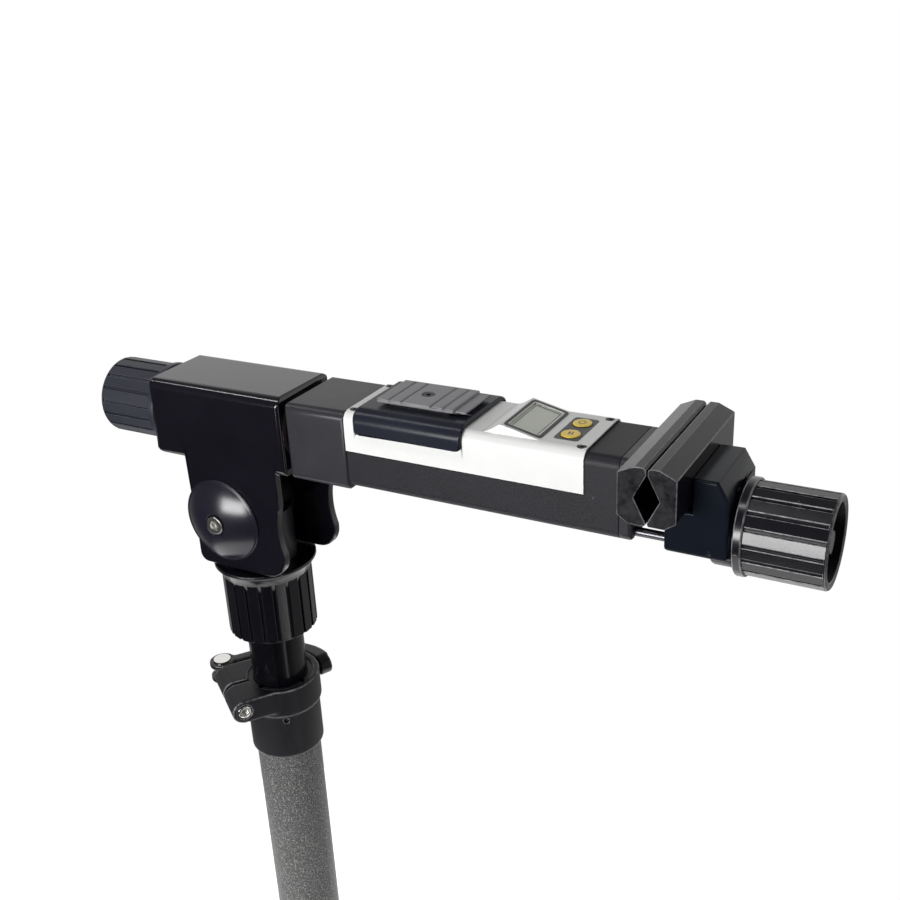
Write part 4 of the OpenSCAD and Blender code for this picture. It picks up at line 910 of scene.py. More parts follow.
@dataclass(frozen=True)
class RibRing:
    """Rounded bars in a ring, as the grips of knobs and collars have them; sizes in millimetres."""

    count: int
    groove_w: float
    groove_depth: float
    corner: float
    sink: float
    root: float = 0.9
    tree_name: ClassVar[str] = "rib_ring"

    @classmethod
    def _tree(cls) -> bpy.types.NodeTree:
        """Build the Geometry Nodes tree, with the ring's axis along Z.

        Returns:
            The tree, with a named input for each size.
        """
        tree = bpy.data.node_groups.new(cls.tree_name, "GeometryNodeTree")
        sizes = dict.fromkeys(("Radius", "Width", "Height", "Start", "Length", "Corner"), "NodeSocketFloat")
        inputs = {"Geometry": "NodeSocketGeometry", "Count": "NodeSocketInt", **sizes,
                  "Material": "NodeSocketMaterial"}
        for key, kind in inputs.items():
            tree.interface.new_socket(key, in_out="INPUT", socket_type=kind)
        tree.interface.new_socket("Geometry", in_out="OUTPUT", socket_type="NodeSocketGeometry")
        draft = NodeDraft(tree)
        given = tree.nodes.new("NodeGroupInput").outputs
        ring = draft.node("GeometryNodeMeshCircle", Vertices=given["Count"], Radius=given["Radius"])
        section = draft.node("GeometryNodeCurvePrimitiveQuadrilateral", Width=given["Height"],
                             Height=given["Width"])
        soft = draft.node("GeometryNodeFilletCurve", mode="POLY", Curve=section.outputs["Curve"], Count=4,
                          Radius=given["Corner"], Limit_Radius=True)
        foot = draft.node("ShaderNodeCombineXYZ", Z=given["Start"])
        head = draft.node("ShaderNodeCombineXYZ", Z=draft.math("ADD", given["Start"], given["Length"]))
        rail = draft.node("GeometryNodeCurvePrimitiveLine", Start=foot.outputs[0], End=head.outputs[0])
        bar = draft.node("GeometryNodeCurveToMesh", Curve=rail.outputs["Curve"],
                         Profile_Curve=soft.outputs["Curve"], Fill_Caps=True)
        outward = draft.node("FunctionNodeAlignRotationToVector", axis="X",
                             Vector=draft.node("GeometryNodeInputPosition").outputs["Position"])
        bars = draft.node("GeometryNodeInstanceOnPoints", Points=ring.outputs["Mesh"],
                          Instance=bar.outputs["Mesh"], Rotation=outward.outputs["Rotation"])
        real = draft.node("GeometryNodeRealizeInstances", Geometry=bars.outputs["Instances"])
        dressed = draft.node("GeometryNodeSetMaterial", Geometry=real.outputs["Geometry"],
                             Material=given["Material"])
        draft.feed(tree.nodes.new("NodeGroupOutput").inputs["Geometry"], dressed.outputs["Geometry"])
        return tree

    def mesh(self, look: Look, radius: float, low: float, high: float) -> bpy.types.Mesh:
        """Make the bars as a plain mesh, with the ring's axis along Z.

        Args:
            look: Finish of the bars.
            radius: Radius of the grip.
            low: Height of the bars' feet.
            high: Height of the bars' heads.

        Returns:
            The mesh of all bars.
        """
        host = put("rib_host", bpy.data.meshes.new("rib_host"))
        ribs = host.modifiers.new("ribs", "NODES")
        ribs.node_group = bpy.data.node_groups.get(self.tree_name) or self._tree()
        height = self.groove_depth + self.root
        values = {"Count": self.count, "Radius": radius - self.sink - height / 2, "Height": height,
                  "Width": 2 * math.pi * radius / self.count - self.groove_w, "Corner": self.corner,
                  "Start": low, "Length": high - low, "Material": look.value.material()}
        for item in ribs.node_group.interface.items_tree:
            if item.in_out == "INPUT" and item.name in values:
                ribs[item.identifier] = values[item.name]
        made = plain_mesh(host)
        discard(host)
        return made


@dataclass
class HandKnob:
    """A ribbed hand knob with a flange at one end and a hollow at the other; sizes in millimetres."""

    node: str
    nut: str
    look: Look
    axis: Axis
    turn: float = 0.0
    ribs: RibRing = RibRing(count=18, groove_w=2.2, groove_depth=1.2, corner=0.5, sink=0.03)
    rib_lap: float = 0.6
    flange_len: float = 5.5
    flange_step: float = 1.5
    flange_rounds: Point = (0.9, 1.1)
    wall: float = 3.4
    rim: float = 2.5
    rim_round: float = 1.7
    dish: float = 1.0
    hollow: float = 28.0
    hollow_round: float = 2.0
    bore_d: float = 14.64
    nut_play: float = 0.1
    recess_edge: float = 0.4
    fine_edge: float = 0.3
    edge: float = 0.5
    # Gap, thickness and steps of the dark sheet that paints shade inside the hollow.
    shade_liner_gap: float = 0.05
    shade_liner_t: float = 0.25
    steps_round: int = 144
    shade_liner_steps: int = 96

    def build(self) -> None:
        """Make the turned body with its ribs, and a dark matte liner in its hollow that paints shade on the
        inner wall.
        """
        box, nut = Box.of(self.node), Box.of(self.nut)
        foot = box.centre
        foot.x = box.low.x if self.axis is Axis.X else box.high.x
        place = place_at(foot, self.axis)
        length, flange_r, bore_r = box.size.x, box.size.y / 2, self.bore_d / 2
        grip_r = flange_r - self.flange_step
        core_r = grip_r - self.ribs.groove_depth
        inner_r, floor = core_r - self.wall, length - self.hollow
        recess_r, seat = max(nut.size.y, nut.size.z) / 2 + self.nut_play, floor - nut.size.x
        rim, mouth = length - self.rim, length - self.dish
        flange, (foot_round, flange_round) = self.flange_len, self.flange_rounds
        corners = [(bore_r, 0, self.fine_edge), (flange_r, 0, foot_round), (flange_r, flange, flange_round),
                   (core_r, flange, self.fine_edge), (core_r, rim, self.fine_edge),
                   (grip_r, rim, self.edge), (grip_r, length, self.rim_round),
                   (inner_r, mouth, self.edge), (inner_r, floor, self.hollow_round),
                   (recess_r, floor, self.recess_edge), (recess_r, seat, 0), (bore_r, seat, 0)]
        draft = Draft().lathe(rounded_path(corners, closed=True), place, self.steps_round, closed=True)
        bars = self.ribs.mesh(self.look, grip_r, flange - self.rib_lap, rim + self.rib_lap)
        draft.add(bars, place @ Matrix.Rotation(math.radians(self.turn), 4, "Z"))
        grip = draft.finish(f"{self.node}_grip")
        smooth(grip)
        flatten(grip)
        settle(grip)
        attach(grip, self.node, self.look, self.node)

        def layer(gap: float, bend: float) -> Outline:
            """The painted-shade liner's path from the hollow's mouth to the nut's recess, at a gap from the
            wall.
            """
            return [(inner_r - gap, mouth - self.edge), (inner_r - gap, floor + bend),
                    (inner_r - bend, floor + gap), (recess_r + self.recess_edge, floor + gap)]

        # A thin dark matte sheet just inside the hollow's wall: painted shade, where the knob's own plastic
        # lies.
        outer = layer(self.shade_liner_gap, self.hollow_round - 2 * self.shade_liner_gap)
        inner = layer(self.shade_liner_gap + self.shade_liner_t, self.hollow_round)
        shade_liner = Draft().lathe(outer + inner[::-1], place, self.shade_liner_steps, closed=True)
        make(shade_liner, f"{self.node}_hollow", self.node, Look.NYLON, angle=50)


@dataclass
class LockCollar:
    """The ribbed collar under the head, with a flared rim; sizes in millimetres."""

    node: str = "lock_collar"
    ribs: RibRing = RibRing(count=20, groove_w=2.4, groove_depth=1.3, corner=0.6, sink=0.15)
    rib_start: float = 0.7
    rib_flare_share: float = 0.62
    flare_step: float = 4.5
    flare_run: float = 15.0
    flare_steps: int = 14
    rim: float = 2.0
    rim_edge: float = 0.8
    bore_d: float = 42.64
    bore_edge: float = 0.4
    foot_edge: float = 1.0
    neck_d: float = 47.64
    neck_len: float = 20.0
    neck_edge: float = 0.2
    mouth_edge: float = 0.6
    edge: float = 0.5
    steps_round: int = 160

    def build(self) -> None:
        """Make the flared body with its ribs."""
        box = Box.of(self.node)
        place = place_at(Vector((box.centre.x, box.centre.y, box.low.z)), Axis.Z)
        height, rim_r = box.size.z, box.size.x / 2
        bore_r, neck_r, neck = self.bore_d / 2, self.neck_d / 2, height - self.neck_len
        grip_r = rim_r - self.flare_step
        core_r = grip_r - self.ribs.groove_depth
        flare = height - self.rim - self.flare_run
        profile = rounded_path([(core_r, flare, 0), (core_r, 0, self.foot_edge), (bore_r, 0, self.bore_edge),
                                (bore_r, neck, self.neck_edge), (neck_r, neck, self.neck_edge),
                                (neck_r, height, self.mouth_edge), (rim_r, height, self.rim_edge),
                                (rim_r, height - self.rim, 0)], closed=False)
        for step in reversed(range(1, self.flare_steps)):
            share = step / self.flare_steps
            profile.append((core_r + (rim_r - core_r) * share ** 2, flare + self.flare_run * share))
        draft = Draft().lathe(profile, place, self.steps_round, closed=True)
        rib_top = self.rib_start + flare + self.rib_flare_share * self.flare_run
        draft.add(self.ribs.mesh(Look.COLLAR, grip_r, self.rib_start, rib_top), place)
        make(draft, "lock_collar_grip", self.node, Look.COLLAR, self.node, edge=self.edge, angle=50)


@dataclass
class PivotCaps:
    """The two domed caps on the fork's cheeks; sizes in millimetres."""

    node: str = "pivot_caps"
    seat: float = 30.0
    foot_edge: float = 0.2
    rim_t: float = 1.4
    rim_step: float = 1.6
    rim_edge: float = 0.7
    dome_gap: float = 0.3
    dome_steps: int = 24
    lip: float = 0.5
    recess_d: float = 15.3
    recess_floor: float = 2.8
    bolt_d: float = 8.4
    edge: float = 0.25
    steps_round: int = 160

    def build(self) -> None:
        """Turn both caps."""
        box = Box.of(self.node)
        rim_r, top = box.size.x / 2, box.high.y - self.seat
        recess_r, bolt_r = self.recess_d / 2, self.bolt_d / 2
        dome_r, rise = rim_r - self.rim_step, top - self.rim_t
        ball_r = (dome_r ** 2 + rise ** 2) / (2 * rise)
        profile = rounded_path([(bolt_r, 0, 0), (rim_r, 0, self.foot_edge),
                                (rim_r, self.rim_t, self.rim_edge), (dome_r + self.dome_gap, self.rim_t, 0)],
                               closed=False)
        for step in range(self.dome_steps + 1):
            radius = dome_r + (recess_r + self.lip - dome_r) * step / self.dome_steps
            profile.append((radius, top - ball_r + math.sqrt(ball_r ** 2 - radius ** 2)))
        profile += [(recess_r, profile[-1][1] - self.lip), (recess_r, self.recess_floor),
                    (bolt_r, self.recess_floor)]
        draft = Draft()
        for axis, side in ((Axis.MINUS_Y, -1), (Axis.Y, 1)):
            foot = Vector((box.centre.x, side * self.seat, box.centre.z))
            draft.lathe(profile, place_at(foot, axis), self.steps_round, closed=True)
        make(draft, "pivot_cap_domes", "head", Look.CAP, self.node, edge=self.edge, angle=40)


@dataclass
class ForkHead:
    """The cast head with its fork; sizes in millimetres."""

    node: str = "head_fork"
    block_h: float = 57.4
    corner: float = 5.5
    corner_steps: int = 8
    edge: float = 1.0
    spare: float = 1.0

    def build(self) -> None:
        """Round the block's lower rear corner by taking off what lies outside its arc."""
        box = Box.of(self.node)
        up, along = box.high.z - self.block_h + self.corner, box.low.x + self.corner
        outline = [(up + x, along + y) for x, y in arc(self.corner, 270.0, 180.0, self.corner_steps)]
        outside_up, outside_along = up - self.corner - self.spare, along - self.corner - self.spare
        outline += [(outside_up, along), (outside_up, outside_along), (up, outside_along)]
        start = Vector((0, box.low.y - self.spare, 0))
        cutter = Draft().prism(outline, box.size.y + 2 * self.spare, place_at(start, Axis.Y))
        piece = copy_of(self.node, f"{self.node}_casting")
        carve(piece, cutter.finish("rear_corner"), Cut.TAKE_AWAY, self.edge)
        attach(piece, "head", Look.GLOSS_CASTING, self.node)


@dataclass
class JawPads:
    """The two rubber pads with their notch; sizes in millimetres."""

    back_slope: float = 4.5
    back_edge: float = 1.0
    foot_run: float = 6.6
    crown_run: float = 9.9
    crown_edge: float = 0.8
    front_run: float = 0.8
    front_edge: float = 0.55
    lip: float = 1.2
    chamfer: float = 1.5
    chamfer_edge: float = 0.7
    notch_mid: float = 16.2
    notch_h: float = 28.0
    notch_depth: float = 7.0
    end_edge: float = 0.5

    def build(self) -> None:
        """Make both pads, the moving one as the fixed one's mirror."""
        for node, body, mirrored in (("fixed_pad", "arm", False), ("moving_pad", "moving_jaw", True)):
            box = Box.of(node)
            depth = box.size.x
            outline = rounded_path(self._corners(depth, box.size.z), closed=True, steps=3)
            if mirrored:
                outline = [(depth - x, y) for x, y in reversed(outline)]
            place = place_at(Vector((box.low.x, box.high.y, box.low.z)), Axis.MINUS_Y)
            draft = Draft().prism(outline, box.size.y, place)
            make(draft, f"{node}_rubber", body, Look.PAD, node, edge=self.end_edge, angle=60)

    def _corners(self, depth: float, height: float) -> list[Corner]:
        """Corners of the fixed pad's section.

        Args:
            depth: Size of the section along the arm.
            height: Height of the section.

        Returns:
            Points from the pad's back and foot, with their radii.
        """
        low, high = self.notch_mid - self.notch_h / 2, self.notch_mid + self.notch_h / 2
        return [(0, self.back_slope, self.back_edge), (self.foot_run, 0, self.back_edge),
                (depth - self.front_run, 0, self.front_edge), (depth, low - self.lip, self.front_edge),
                (depth, low, self.front_edge), (depth - self.notch_depth, self.notch_mid, self.front_edge),
                (depth, high, self.front_edge), (depth, height - self.chamfer, self.chamfer_edge),
                (depth - self.chamfer, height, self.crown_edge), (self.crown_run, height, self.crown_edge),
                (0, height - self.back_slope, self.back_edge)]


@dataclass(frozen=True)
class Opening:
    """An opening in the scale's cover, from low to high along the arm and even about the arm's middle."""

    low: float
    high: float
    half: float

    def holds(self, x: float, y: float) -> bool:
        """True for a place inside the opening."""
        return self.low < x < self.high and abs(y) < self.half


@dataclass(frozen=True)
class DisplayHump:
    """The hump on the scale's cover, whose front slope carries the display; sizes in millimetres."""

    height: float = 6.0
    rear: float = 199.0
    peak: float = 210.0
    low: float = 236.0
    half: float = 24.0
    bend: float = 1.35
    crease: float = 0.35
    crease_reach: float = 0.1
    peak_blend: float = 0.4
    side_run: float = 0.6
    shift: float = 0.5

    @property
    def cover_top(self) -> float:
        """Height of the cover's flat top."""
        return Box.of("button_frame").high.z

    @property
    def middle(self) -> float:
        """The front slope's middle along the arm."""
        return (self.peak + self.low) / 2

    @property
    def tilt(self) -> float:
        """Angle of the front slope, in radians."""
        return math.atan2(self.height, self.low - self.peak)

    def rise(self, x: float, y: float) -> float:
        """Height of the hump over the cover's top.

        Args:
            x: Place along the arm.
            y: Place across the arm.

        Returns:
            The height, which is below zero in the crease at the hump's rear.
        """
        share = max(0.0, (x - self.rear) / (self.peak - self.rear))
        ramp = self.height * share ** self.bend
        slope = self.height * (self.low - x) / (self.low - self.peak)
        lower = (ramp + slope - math.hypot(ramp - slope, self.peak_blend)) / 2
        fade = clamped((self.half - abs(y)) / self.side_run)
        crease = self.crease if abs(x - self.rear) < self.crease_reach else 0.0
        return (max(0.0, lower) - crease) * fade * fade * (3 - 2 * fade)

    def place(self, lift: float) -> Matrix:
        """Matrix of the display's place on the slope, lifted off it."""
        middle = Matrix.Translation((self.middle, 0, self.cover_top + self.height / 2))
        return middle @ Matrix.Rotation(self.tilt, 4, "Y") @ Matrix.Translation((self.shift, 0, lift))


@dataclass
class ScaleDisplay:
    """The display: dark frame, pale well, a printed line round the digits' field and lens; in millimetres."""

    hump: DisplayHump
    frame: Oblong = Oblong(25.0, 43.0, 2.6)
    frame_t: float = 1.4
    frame_proud: float = 0.5
    frame_lap: float = 0.4
    frame_border: float = 2.1
    frame_edge: float = 0.3
    window_round: float = 1.4
    well_wall: float = 0.5
    well_sink: float = 0.2
    well_round: float = 0.9
    lens_t: float = 0.3
    lens_play: float = 0.1
    lens_round: float = 0.8
    line_inset: float = 1.5
    line_w: float = 0.3
    line_t: float = 0.08
    line_rounds: Point = (0.6, 0.4)

    def opening(self) -> Opening:
        """Find the cover's opening under the display.

        Returns:
            The opening, which the frame overlaps.
        """
        middle = self.hump.middle + self.hump.shift
        reach = self.frame.length / 2 * math.cos(self.hump.tilt) - self.frame_lap
        return Opening(middle - reach, middle + reach, self.frame.width / 2 - self.frame_lap)

    def build(self) -> None:
        """Make the frame and what lies inside it."""
        window = self.frame.inset(self.frame_border, self.window_round)
        field = window.inset(self.well_wall, self.well_round)
        line = field.inset(self.line_inset, self.line_rounds[0])
        line_hole = line.inset(self.line_w, self.line_rounds[1])
        bezel = self._border(self.frame, window, self.frame_t)
        make(bezel, "display_bezel", "arm", Look.BEZEL, "display_frame", edge=self.frame_edge, steps=3)
        well = self._border(window, field, self.frame_t - self.well_sink)
        make(well, "display_well", "arm", Look.WELL)
        make(self._border(line, line_hole, self.line_t), "display_line", "arm", Look.BEZEL)
        glass = field.inset(self.lens_play, self.lens_round).outline()
        lens = Draft().prism(glass, self.lens_t, self.hump.place(self._floor + self.lens_play))
        make(lens, "display_window", "arm", Look.LENS, "display_lens")

    @property
    def _floor(self) -> float:
        """Height of the display's floor over the slope."""
        return self.frame_proud - self.frame_t

    def _border(self, outer: Oblong, hole: Oblong, depth: float) -> Draft:
        """Draft of a plate between two oblongs on the display's floor."""
        return Draft().plate([outer.outline(), hole.outline()], depth, self.hump.place(self._floor))


@dataclass
class ScaleButtons:
    """The dark button plate and the two gold buttons with their plain marks; sizes in millimetres."""

    plate_round: float = 2.8
    plate_rise: float = 0.15
    plate_lap: float = 0.5
    plate_edge: float = 0.15
    play: float = 0.2
    ring_w: float = 0.7
    ring_h: float = 0.45
    ring_edge: float = 0.2
    ring_sink: float = 0.1
    hole_steps: int = 48
    steps_round: int = 64
    rise: float = 0.95
    stem_share: float = 0.4
    shoulder: float = 0.12
    shoulder_round: float = 0.5
    crown_run: float = 1.6
    crown_round: float = 2.0
    mark_t: float = 0.08
    mark_sink: float = 0.01
    mark_turn: float = -90.0
    ring_mark_radii: Point = (2.5, 2.0)
    ring_mark_ends: Point = (125.0, 415.0)
    ring_mark_steps: int = 30
    bar_half: float = 0.25
    bar_ends: Point = (0.8, 2.9)
    arrow_mid: float = 1.0
    arrow_tail: float = -2.2
    arrow_neck: float = 0.7
    arrow_tip: float = 2.3
    arrow_shaft_half: float = 0.3
    arrow_head_half: float = 0.9

    def opening(self) -> Opening:
        """The cover's opening, which the plate overlaps."""
        box, lap = Box.of("button_frame"), self.plate_lap
        return Opening(box.low.x + lap, box.high.x - lap, box.size.y / 2 - lap)

    def build(self) -> None:
        """Make the plate with its rings, then each button with its mark."""
        marks = {"power_button": self._ring_mark(), "unit_button": self._swap_mark()}
        self._plate([Box.of(node) for node in marks])
        for node, outlines in marks.items():
            self._button(node, outlines)

    def _plate(self, buttons: list[Box]) -> None:
        """Make the plate that the buttons stand in, with a raised ring round each.

        Args:
            buttons: The buttons' boxes.
        """
        box = Box.of("button_frame")
        loops = [Oblong(box.size.x, box.size.y, self.plate_round).outline()]
        rings = Draft()
        for button in buttons:
            radius, spot = button.size.x / 2 + self.play, button.centre - box.centre
            loops.append([(spot.x + x, spot.y + y) for x, y in circle(radius, self.hole_steps)])
            outer = radius + self.ring_w
            corners = [(radius, 0, 0), (outer, 0, 0), (outer, self.ring_h, self.ring_edge),
                       (radius, self.ring_h, self.ring_edge)]
            foot = Vector((button.centre.x, button.centre.y, box.high.z - self.ring_sink))
            ring = rounded_path(corners, closed=True, steps=3)
            rings.lathe(ring, place_at(foot, Axis.Z), self.steps_round, closed=True)
        place = Matrix.Translation((box.centre.x, box.centre.y, box.low.z))
        plate = Draft().plate(loops, box.size.z + self.plate_rise, place)
        make(plate, "button_plate", "arm", Look.BEZEL, "button_frame", edge=self.plate_edge)
        make(rings, "button_rings", "arm", Look.SCREW_STEEL, angle=180)

    def _button(self, node: str, outlines: list[Outline]) -> None:
        """Make a button's cap with the mark on its top.

        Args:
            node: The button's solid.
            outlines: Outlines of its mark.
        """
        box, foot = Box.of(node), Box.of("arm_beam").high.z
        radius, stem, top = box.size.x / 2, foot - box.low.z, Box.of("button_frame").high.z - foot + self.rise
        stem_r = radius * self.stem_share
        profile = rounded_path([(0, -stem, 0), (stem_r, -stem, 0), (stem_r, 0, 0), (radius, 0, 0),
                                (radius, top - self.shoulder, self.shoulder_round),
                                (radius - self.crown_run, top, self.crown_round), (0, top, 0)], closed=False)
        place = place_at(Vector((box.centre.x, box.centre.y, foot)), Axis.Z)
        cap = Draft().lathe(profile, place, self.steps_round)
        make(cap, f"{node}_cap", node, Look.GOLD, node, angle=50)
        turn = Matrix.Rotation(math.radians(self.mark_turn), 4, "Z")
        face = place @ Matrix.Translation((0, 0, top - self.mark_sink)) @ turn
        mark = Draft()
        for outline in outlines:
            mark.plate([outline], self.mark_t, face)
        make(mark, f"{node}_mark", node, Look.MARK)

    def _ring_mark(self) -> list[Outline]:
        """Draw an open ring with a bar.

        Returns:
            The outlines of the ring and the bar.
        """
        ends, steps = self.ring_mark_ends, self.ring_mark_steps
        outer, inner = (arc(radius, *ends, steps) for radius in self.ring_mark_radii)
        half, (low, high) = self.bar_half, self.bar_ends
        return [outer + inner[::-1], [(-half, low), (half, low), (half, high), (-half, high)]]

    def _swap_mark(self) -> list[Outline]:
        """Draw two arrows that point opposite ways.

        Returns:
            The outlines of the arrows.
        """
        mid, neck = self.arrow_mid, self.arrow_neck
        shaft, head = mid - self.arrow_shaft_half, mid - self.arrow_head_half
        lower = [(self.arrow_tail, shaft), (neck, shaft), (neck, head)]
        upper = [(x, 2 * mid - y) for x, y in reversed(lower)]
        arrow = [*lower, (self.arrow_tip, mid), *upper]
        return [[(sign * x, sign * y) for x, y in arrow] for sign in (-1, 1)]


@dataclass
class ScaleCover:
    """The scale's moulded cover, with rows of points close together where it bends; sizes in millimetres."""

    hump: DisplayHump
    openings: tuple[Opening, ...]
    node: str = "scale_cover"
    edge: float = 7.0
    wall: float = 0.9
    skirt_row: float = 8.0
    edge_rows: tuple[float, ...] = (0.0, 0.15, 0.5, 1.1, 2.0, 3.0, 4.0, 5.0, 5.7)
    middle_rows: tuple[float, ...] = (10.0, 5.0, 0.0)
    side_rows: int = 9
    side_step: float = 0.1
    border_row: float = 0.2
    rear_rows: int = 22
    rear_step: float = 4.0
    hump_rows: int = 78
    hump_step: float = 0.5
    hump_lead: float = 1.0
    screws: str = "cover_screws"
    screw_head_d: float = 5.0
    pocket_d: float = 6.2
    pocket_depth: float = 4.0
    pocket_steps: int = 40

    def build(self) -> None:
        """Loft the cover along the arm, open under the display and the buttons, and cut its screw pockets."""
        box, draft = Box.of(self.node), Draft()
        xs, section = self._stations(box), self._section(box)
        rows = [[draft.mesh.verts.new((x, y, z + self.hump.rise(x, y))) for y, z in section] for x in xs]
        for x, x_after, row, row_after in zip(xs, xs[1:], rows, rows[1:]):
            for column in range(len(section) - 1):
                after = column + 1
                spot = ((x + x_after) / 2, (section[column][0] + section[after][0]) / 2)
                if not any(opening.holds(*spot) for opening in self.openings):
                    draft.mesh.faces.new([row[column], row[after], row_after[after], row_after[column]])
        piece = draft.finish("scale_cover_shell")
        thick = piece.modifiers.new("wall", "SOLIDIFY")
        thick.thickness = self.wall * MM
        thick.offset = -1
        carve(piece, self._pockets(), Cut.TAKE_AWAY)
        crisp(piece)
        attach(piece, "arm", Look.SILVER, self.node)

    def _stations(self, box: Box) -> list[float]:
        """Places of the rows along the arm.

        Args:
            box: The cover's box.

        Returns:
            The places in order.
        """
        places = [box.low.x, box.high.x]
        places += [box.low.x + self.rear_step * step for step in range(1, self.rear_rows + 1)]
        places += [self.hump.rear - self.hump_lead + self.hump_step * step for step in range(self.hump_rows)]
        for opening in self.openings:
            places += [opening.low, (opening.low + opening.high) / 2, opening.high]
        return sorted({round(place, 4) for place in places})

    def _section(self, box: Box) -> Outline:
        """The cover's section without the hump.

        Args:
            box: The cover's box.

        Returns:
            Points as place across the arm and height, from skirt to skirt.
        """
        half, skirt = box.size.y / 2, box.low.z
        flat, spring = half - self.edge, self.hump.cover_top - self.edge
        places = [half - row for row in self.edge_rows] + [flat, *self.middle_rows]
        places += [self.hump.half - self.side_step * step for step in range(self.side_rows)]
        places += [opening.half for opening in self.openings] + [self.openings[0].half + self.border_row]
        section = [(-half, skirt), (-half, skirt + self.skirt_row)]
        for y in sorted({round(sign * place, 4) for place in places for sign in (-1, 1)}):
            drop = max(0.0, abs(y) - flat)
            section.append((y, spring + math.sqrt(max(0.0, self.edge ** 2 - drop ** 2))))
        return [*section, (half, skirt + self.skirt_row), (half, skirt)]

    def _pockets(self) -> bpy.types.Object:
        """Make the tool that cuts a pocket over each of the cover's screws.

        Returns:
            The tool, as one object.
        """
        screws, inset, radius = Box.of(self.screws), self.screw_head_d / 2, self.pocket_d / 2
        profile = [(0, 0), (radius, 0), (radius, 2 * self.pocket_depth), (0, 2 * self.pocket_depth)]
        pockets = Draft()
        for x in (screws.low.x + inset, screws.high.x - inset):
            for y in (screws.low.y + inset, screws.high.y - inset):
                spot = Vector((x, y, self.hump.cover_top - self.pocket_depth))
                pockets.lathe(profile, place_at(spot, Axis.Z), self.pocket_steps)
        return pockets.finish("cover_pockets")


@dataclass
class ShoeSaddle:
    """The plastic saddle that the accessory shoe stands on; sizes in millimetres."""

    node: str = "shoe_saddle"
    corner: float = 4.0
    edge: float = 1.0
    spare: float = 2.0

    def build(self) -> None:
        """Round the lower corners of the saddle's two skirts."""
        box = Box.of(self.node)
        length, height = box.size.x, box.size.z + self.spare
        corners = [(0, 0, self.corner), (0, length, self.corner), (height, length, 0), (height, 0, 0)]
        foot = Vector((box.low.x, box.low.y - self.spare, box.low.z))
        outline = rounded_path(corners, closed=True)
        block = Draft().prism(outline, box.size.y + 2 * self.spare, place_at(foot, Axis.Y))
        piece = copy_of(self.node, "saddle_skin")
        carve(piece, block.finish("saddle_block"), Cut.KEEP_INSIDE, self.edge)
        attach(piece, "arm", Look.SADDLE, self.node)


@dataclass
class ClampScrew:
    """The jaw's screw with its trapezoidal thread; sizes in millimetres."""

    node: str = "clamp_screw"
    lead: float = 5.0
    depth: float = 0.8
    crest_share: float = 0.14
    flank_share: float = 0.16
    steps_round: int = 48
    rows_per_turn: int = 10

    def build(self) -> None:
        """Make the threaded bar."""
        box = Box.of(self.node)
        place = place_at(Vector((box.low.x, box.centre.y, box.centre.z)), Axis.X)
        rows = int(box.size.x / self.lead * self.rows_per_turn) + 1
        turns = [row / self.rows_per_turn for row in range(rows)]
        sections = [(self._outline(box.size.y / 2, turn), turn * self.lead) for turn in turns]
        make(Draft().loft(sections, place), "clamp_screw_thread", "arm", Look.DARK_STEEL, self.node, angle=40)

    def _outline(self, radius: float, turn: float) -> Outline:
        """The bar's outline where the thread has made some turns.

        Args:
            radius: Radius over the thread.
            turn: Turns that the thread has made.

        Returns:
            Points round the bar.
        """
        outline = []
        for step, (x, y) in enumerate(circle(1.0, self.steps_round)):
            share = (turn - step / self.steps_round) % 1.0
            reach = radius - self.depth * clamped((abs(share - 0.5) - self.crest_share) / self.flank_share)
            outline.append((reach * x, reach * y))
        return outline


@dataclass
class MastClamp:
    """The cast mast clamp and its lever; sizes in millimetres."""

    body_grid: float = 0.9
    body_rounds: int = 5
    lever_grid: float = 0.7
    lever_rounds: int = 16

    def build(self) -> None:
        """Round the two castings."""
        body = recast("clamp_body", self.body_grid, self.body_rounds)
        attach(body, "mast", Look.CLAMP, "clamp_body")
        lever = recast("clamp_lever", self.lever_grid, self.lever_rounds)
        attach(lever, "clamp_lever", Look.LEVER, "clamp_lever")


@dataclass(frozen=True)
class Viewpoint:
    """The photograph's camera, with its eye in metres from the crossing of the mast's and the arm's axes."""

    eye: Corner = (0.4992, -0.5852, 0.2948)
    azimuth: float = 29.952
    elevation: float = 23.596
    roll: float = -3.014
    lens_mm: float = 46.27
    sensor_mm: float = 36.0
    nearest: float = 0.01

    def place(self) -> None:
        """Make the scene's camera."""
        turn, rise = math.radians(self.azimuth), math.radians(self.elevation)
        back = Vector((math.sin(turn) * math.cos(rise), -math.cos(turn) * math.cos(rise), math.sin(rise)))
        right = Vector((math.cos(turn), math.sin(turn), 0))
        upright = Matrix((right, back.cross(right), back)).transposed()
        tilt = Matrix.Rotation(math.radians(self.roll), 3, "Z")
        crossing = Vector((0, 0, Box.of("arm_spindle").centre.z * MM))
        data = bpy.data.cameras.new("photo_view")
        data.lens = self.lens_mm
        data.sensor_width = self.sensor_mm
        data.clip_start = self.nearest
        camera = put("photo_view", data)
        camera.matrix_world = Matrix.Translation(crossing + Vector(self.eye)) @ (upright @ tilt).to_4x4()
        bpy.context.scene.camera = camera


@dataclass(frozen=True)
class Lamp:
    """An oblong lamp that faces the arm; lengths in metres."""

    name: str
    place: Corner
    size: Point
    watts: float
    along: Corner = (1.0, 0.0, 0.0)
    gloss_only: bool = False

    def hang(self, target: Vector) -> None:
        """Put the lamp in the scene.

        Args:
            target: Point that it faces.
        """
        data = bpy.data.lights.new(self.name, "AREA")
        data.shape = "RECTANGLE"
        data.size, data.size_y = self.size
        data.energy = self.watts
        lamp = put(self.name, data)
        lamp.visible_diffuse = not self.gloss_only
        back = (Vector(self.place) - target).normalized()
        up = back.cross(Vector(self.along)).normalized()
        facing = Matrix((up.cross(back), up, back)).transposed()
        lamp.matrix_world = Matrix.Translation(self.place) @ facing.to_4x4()


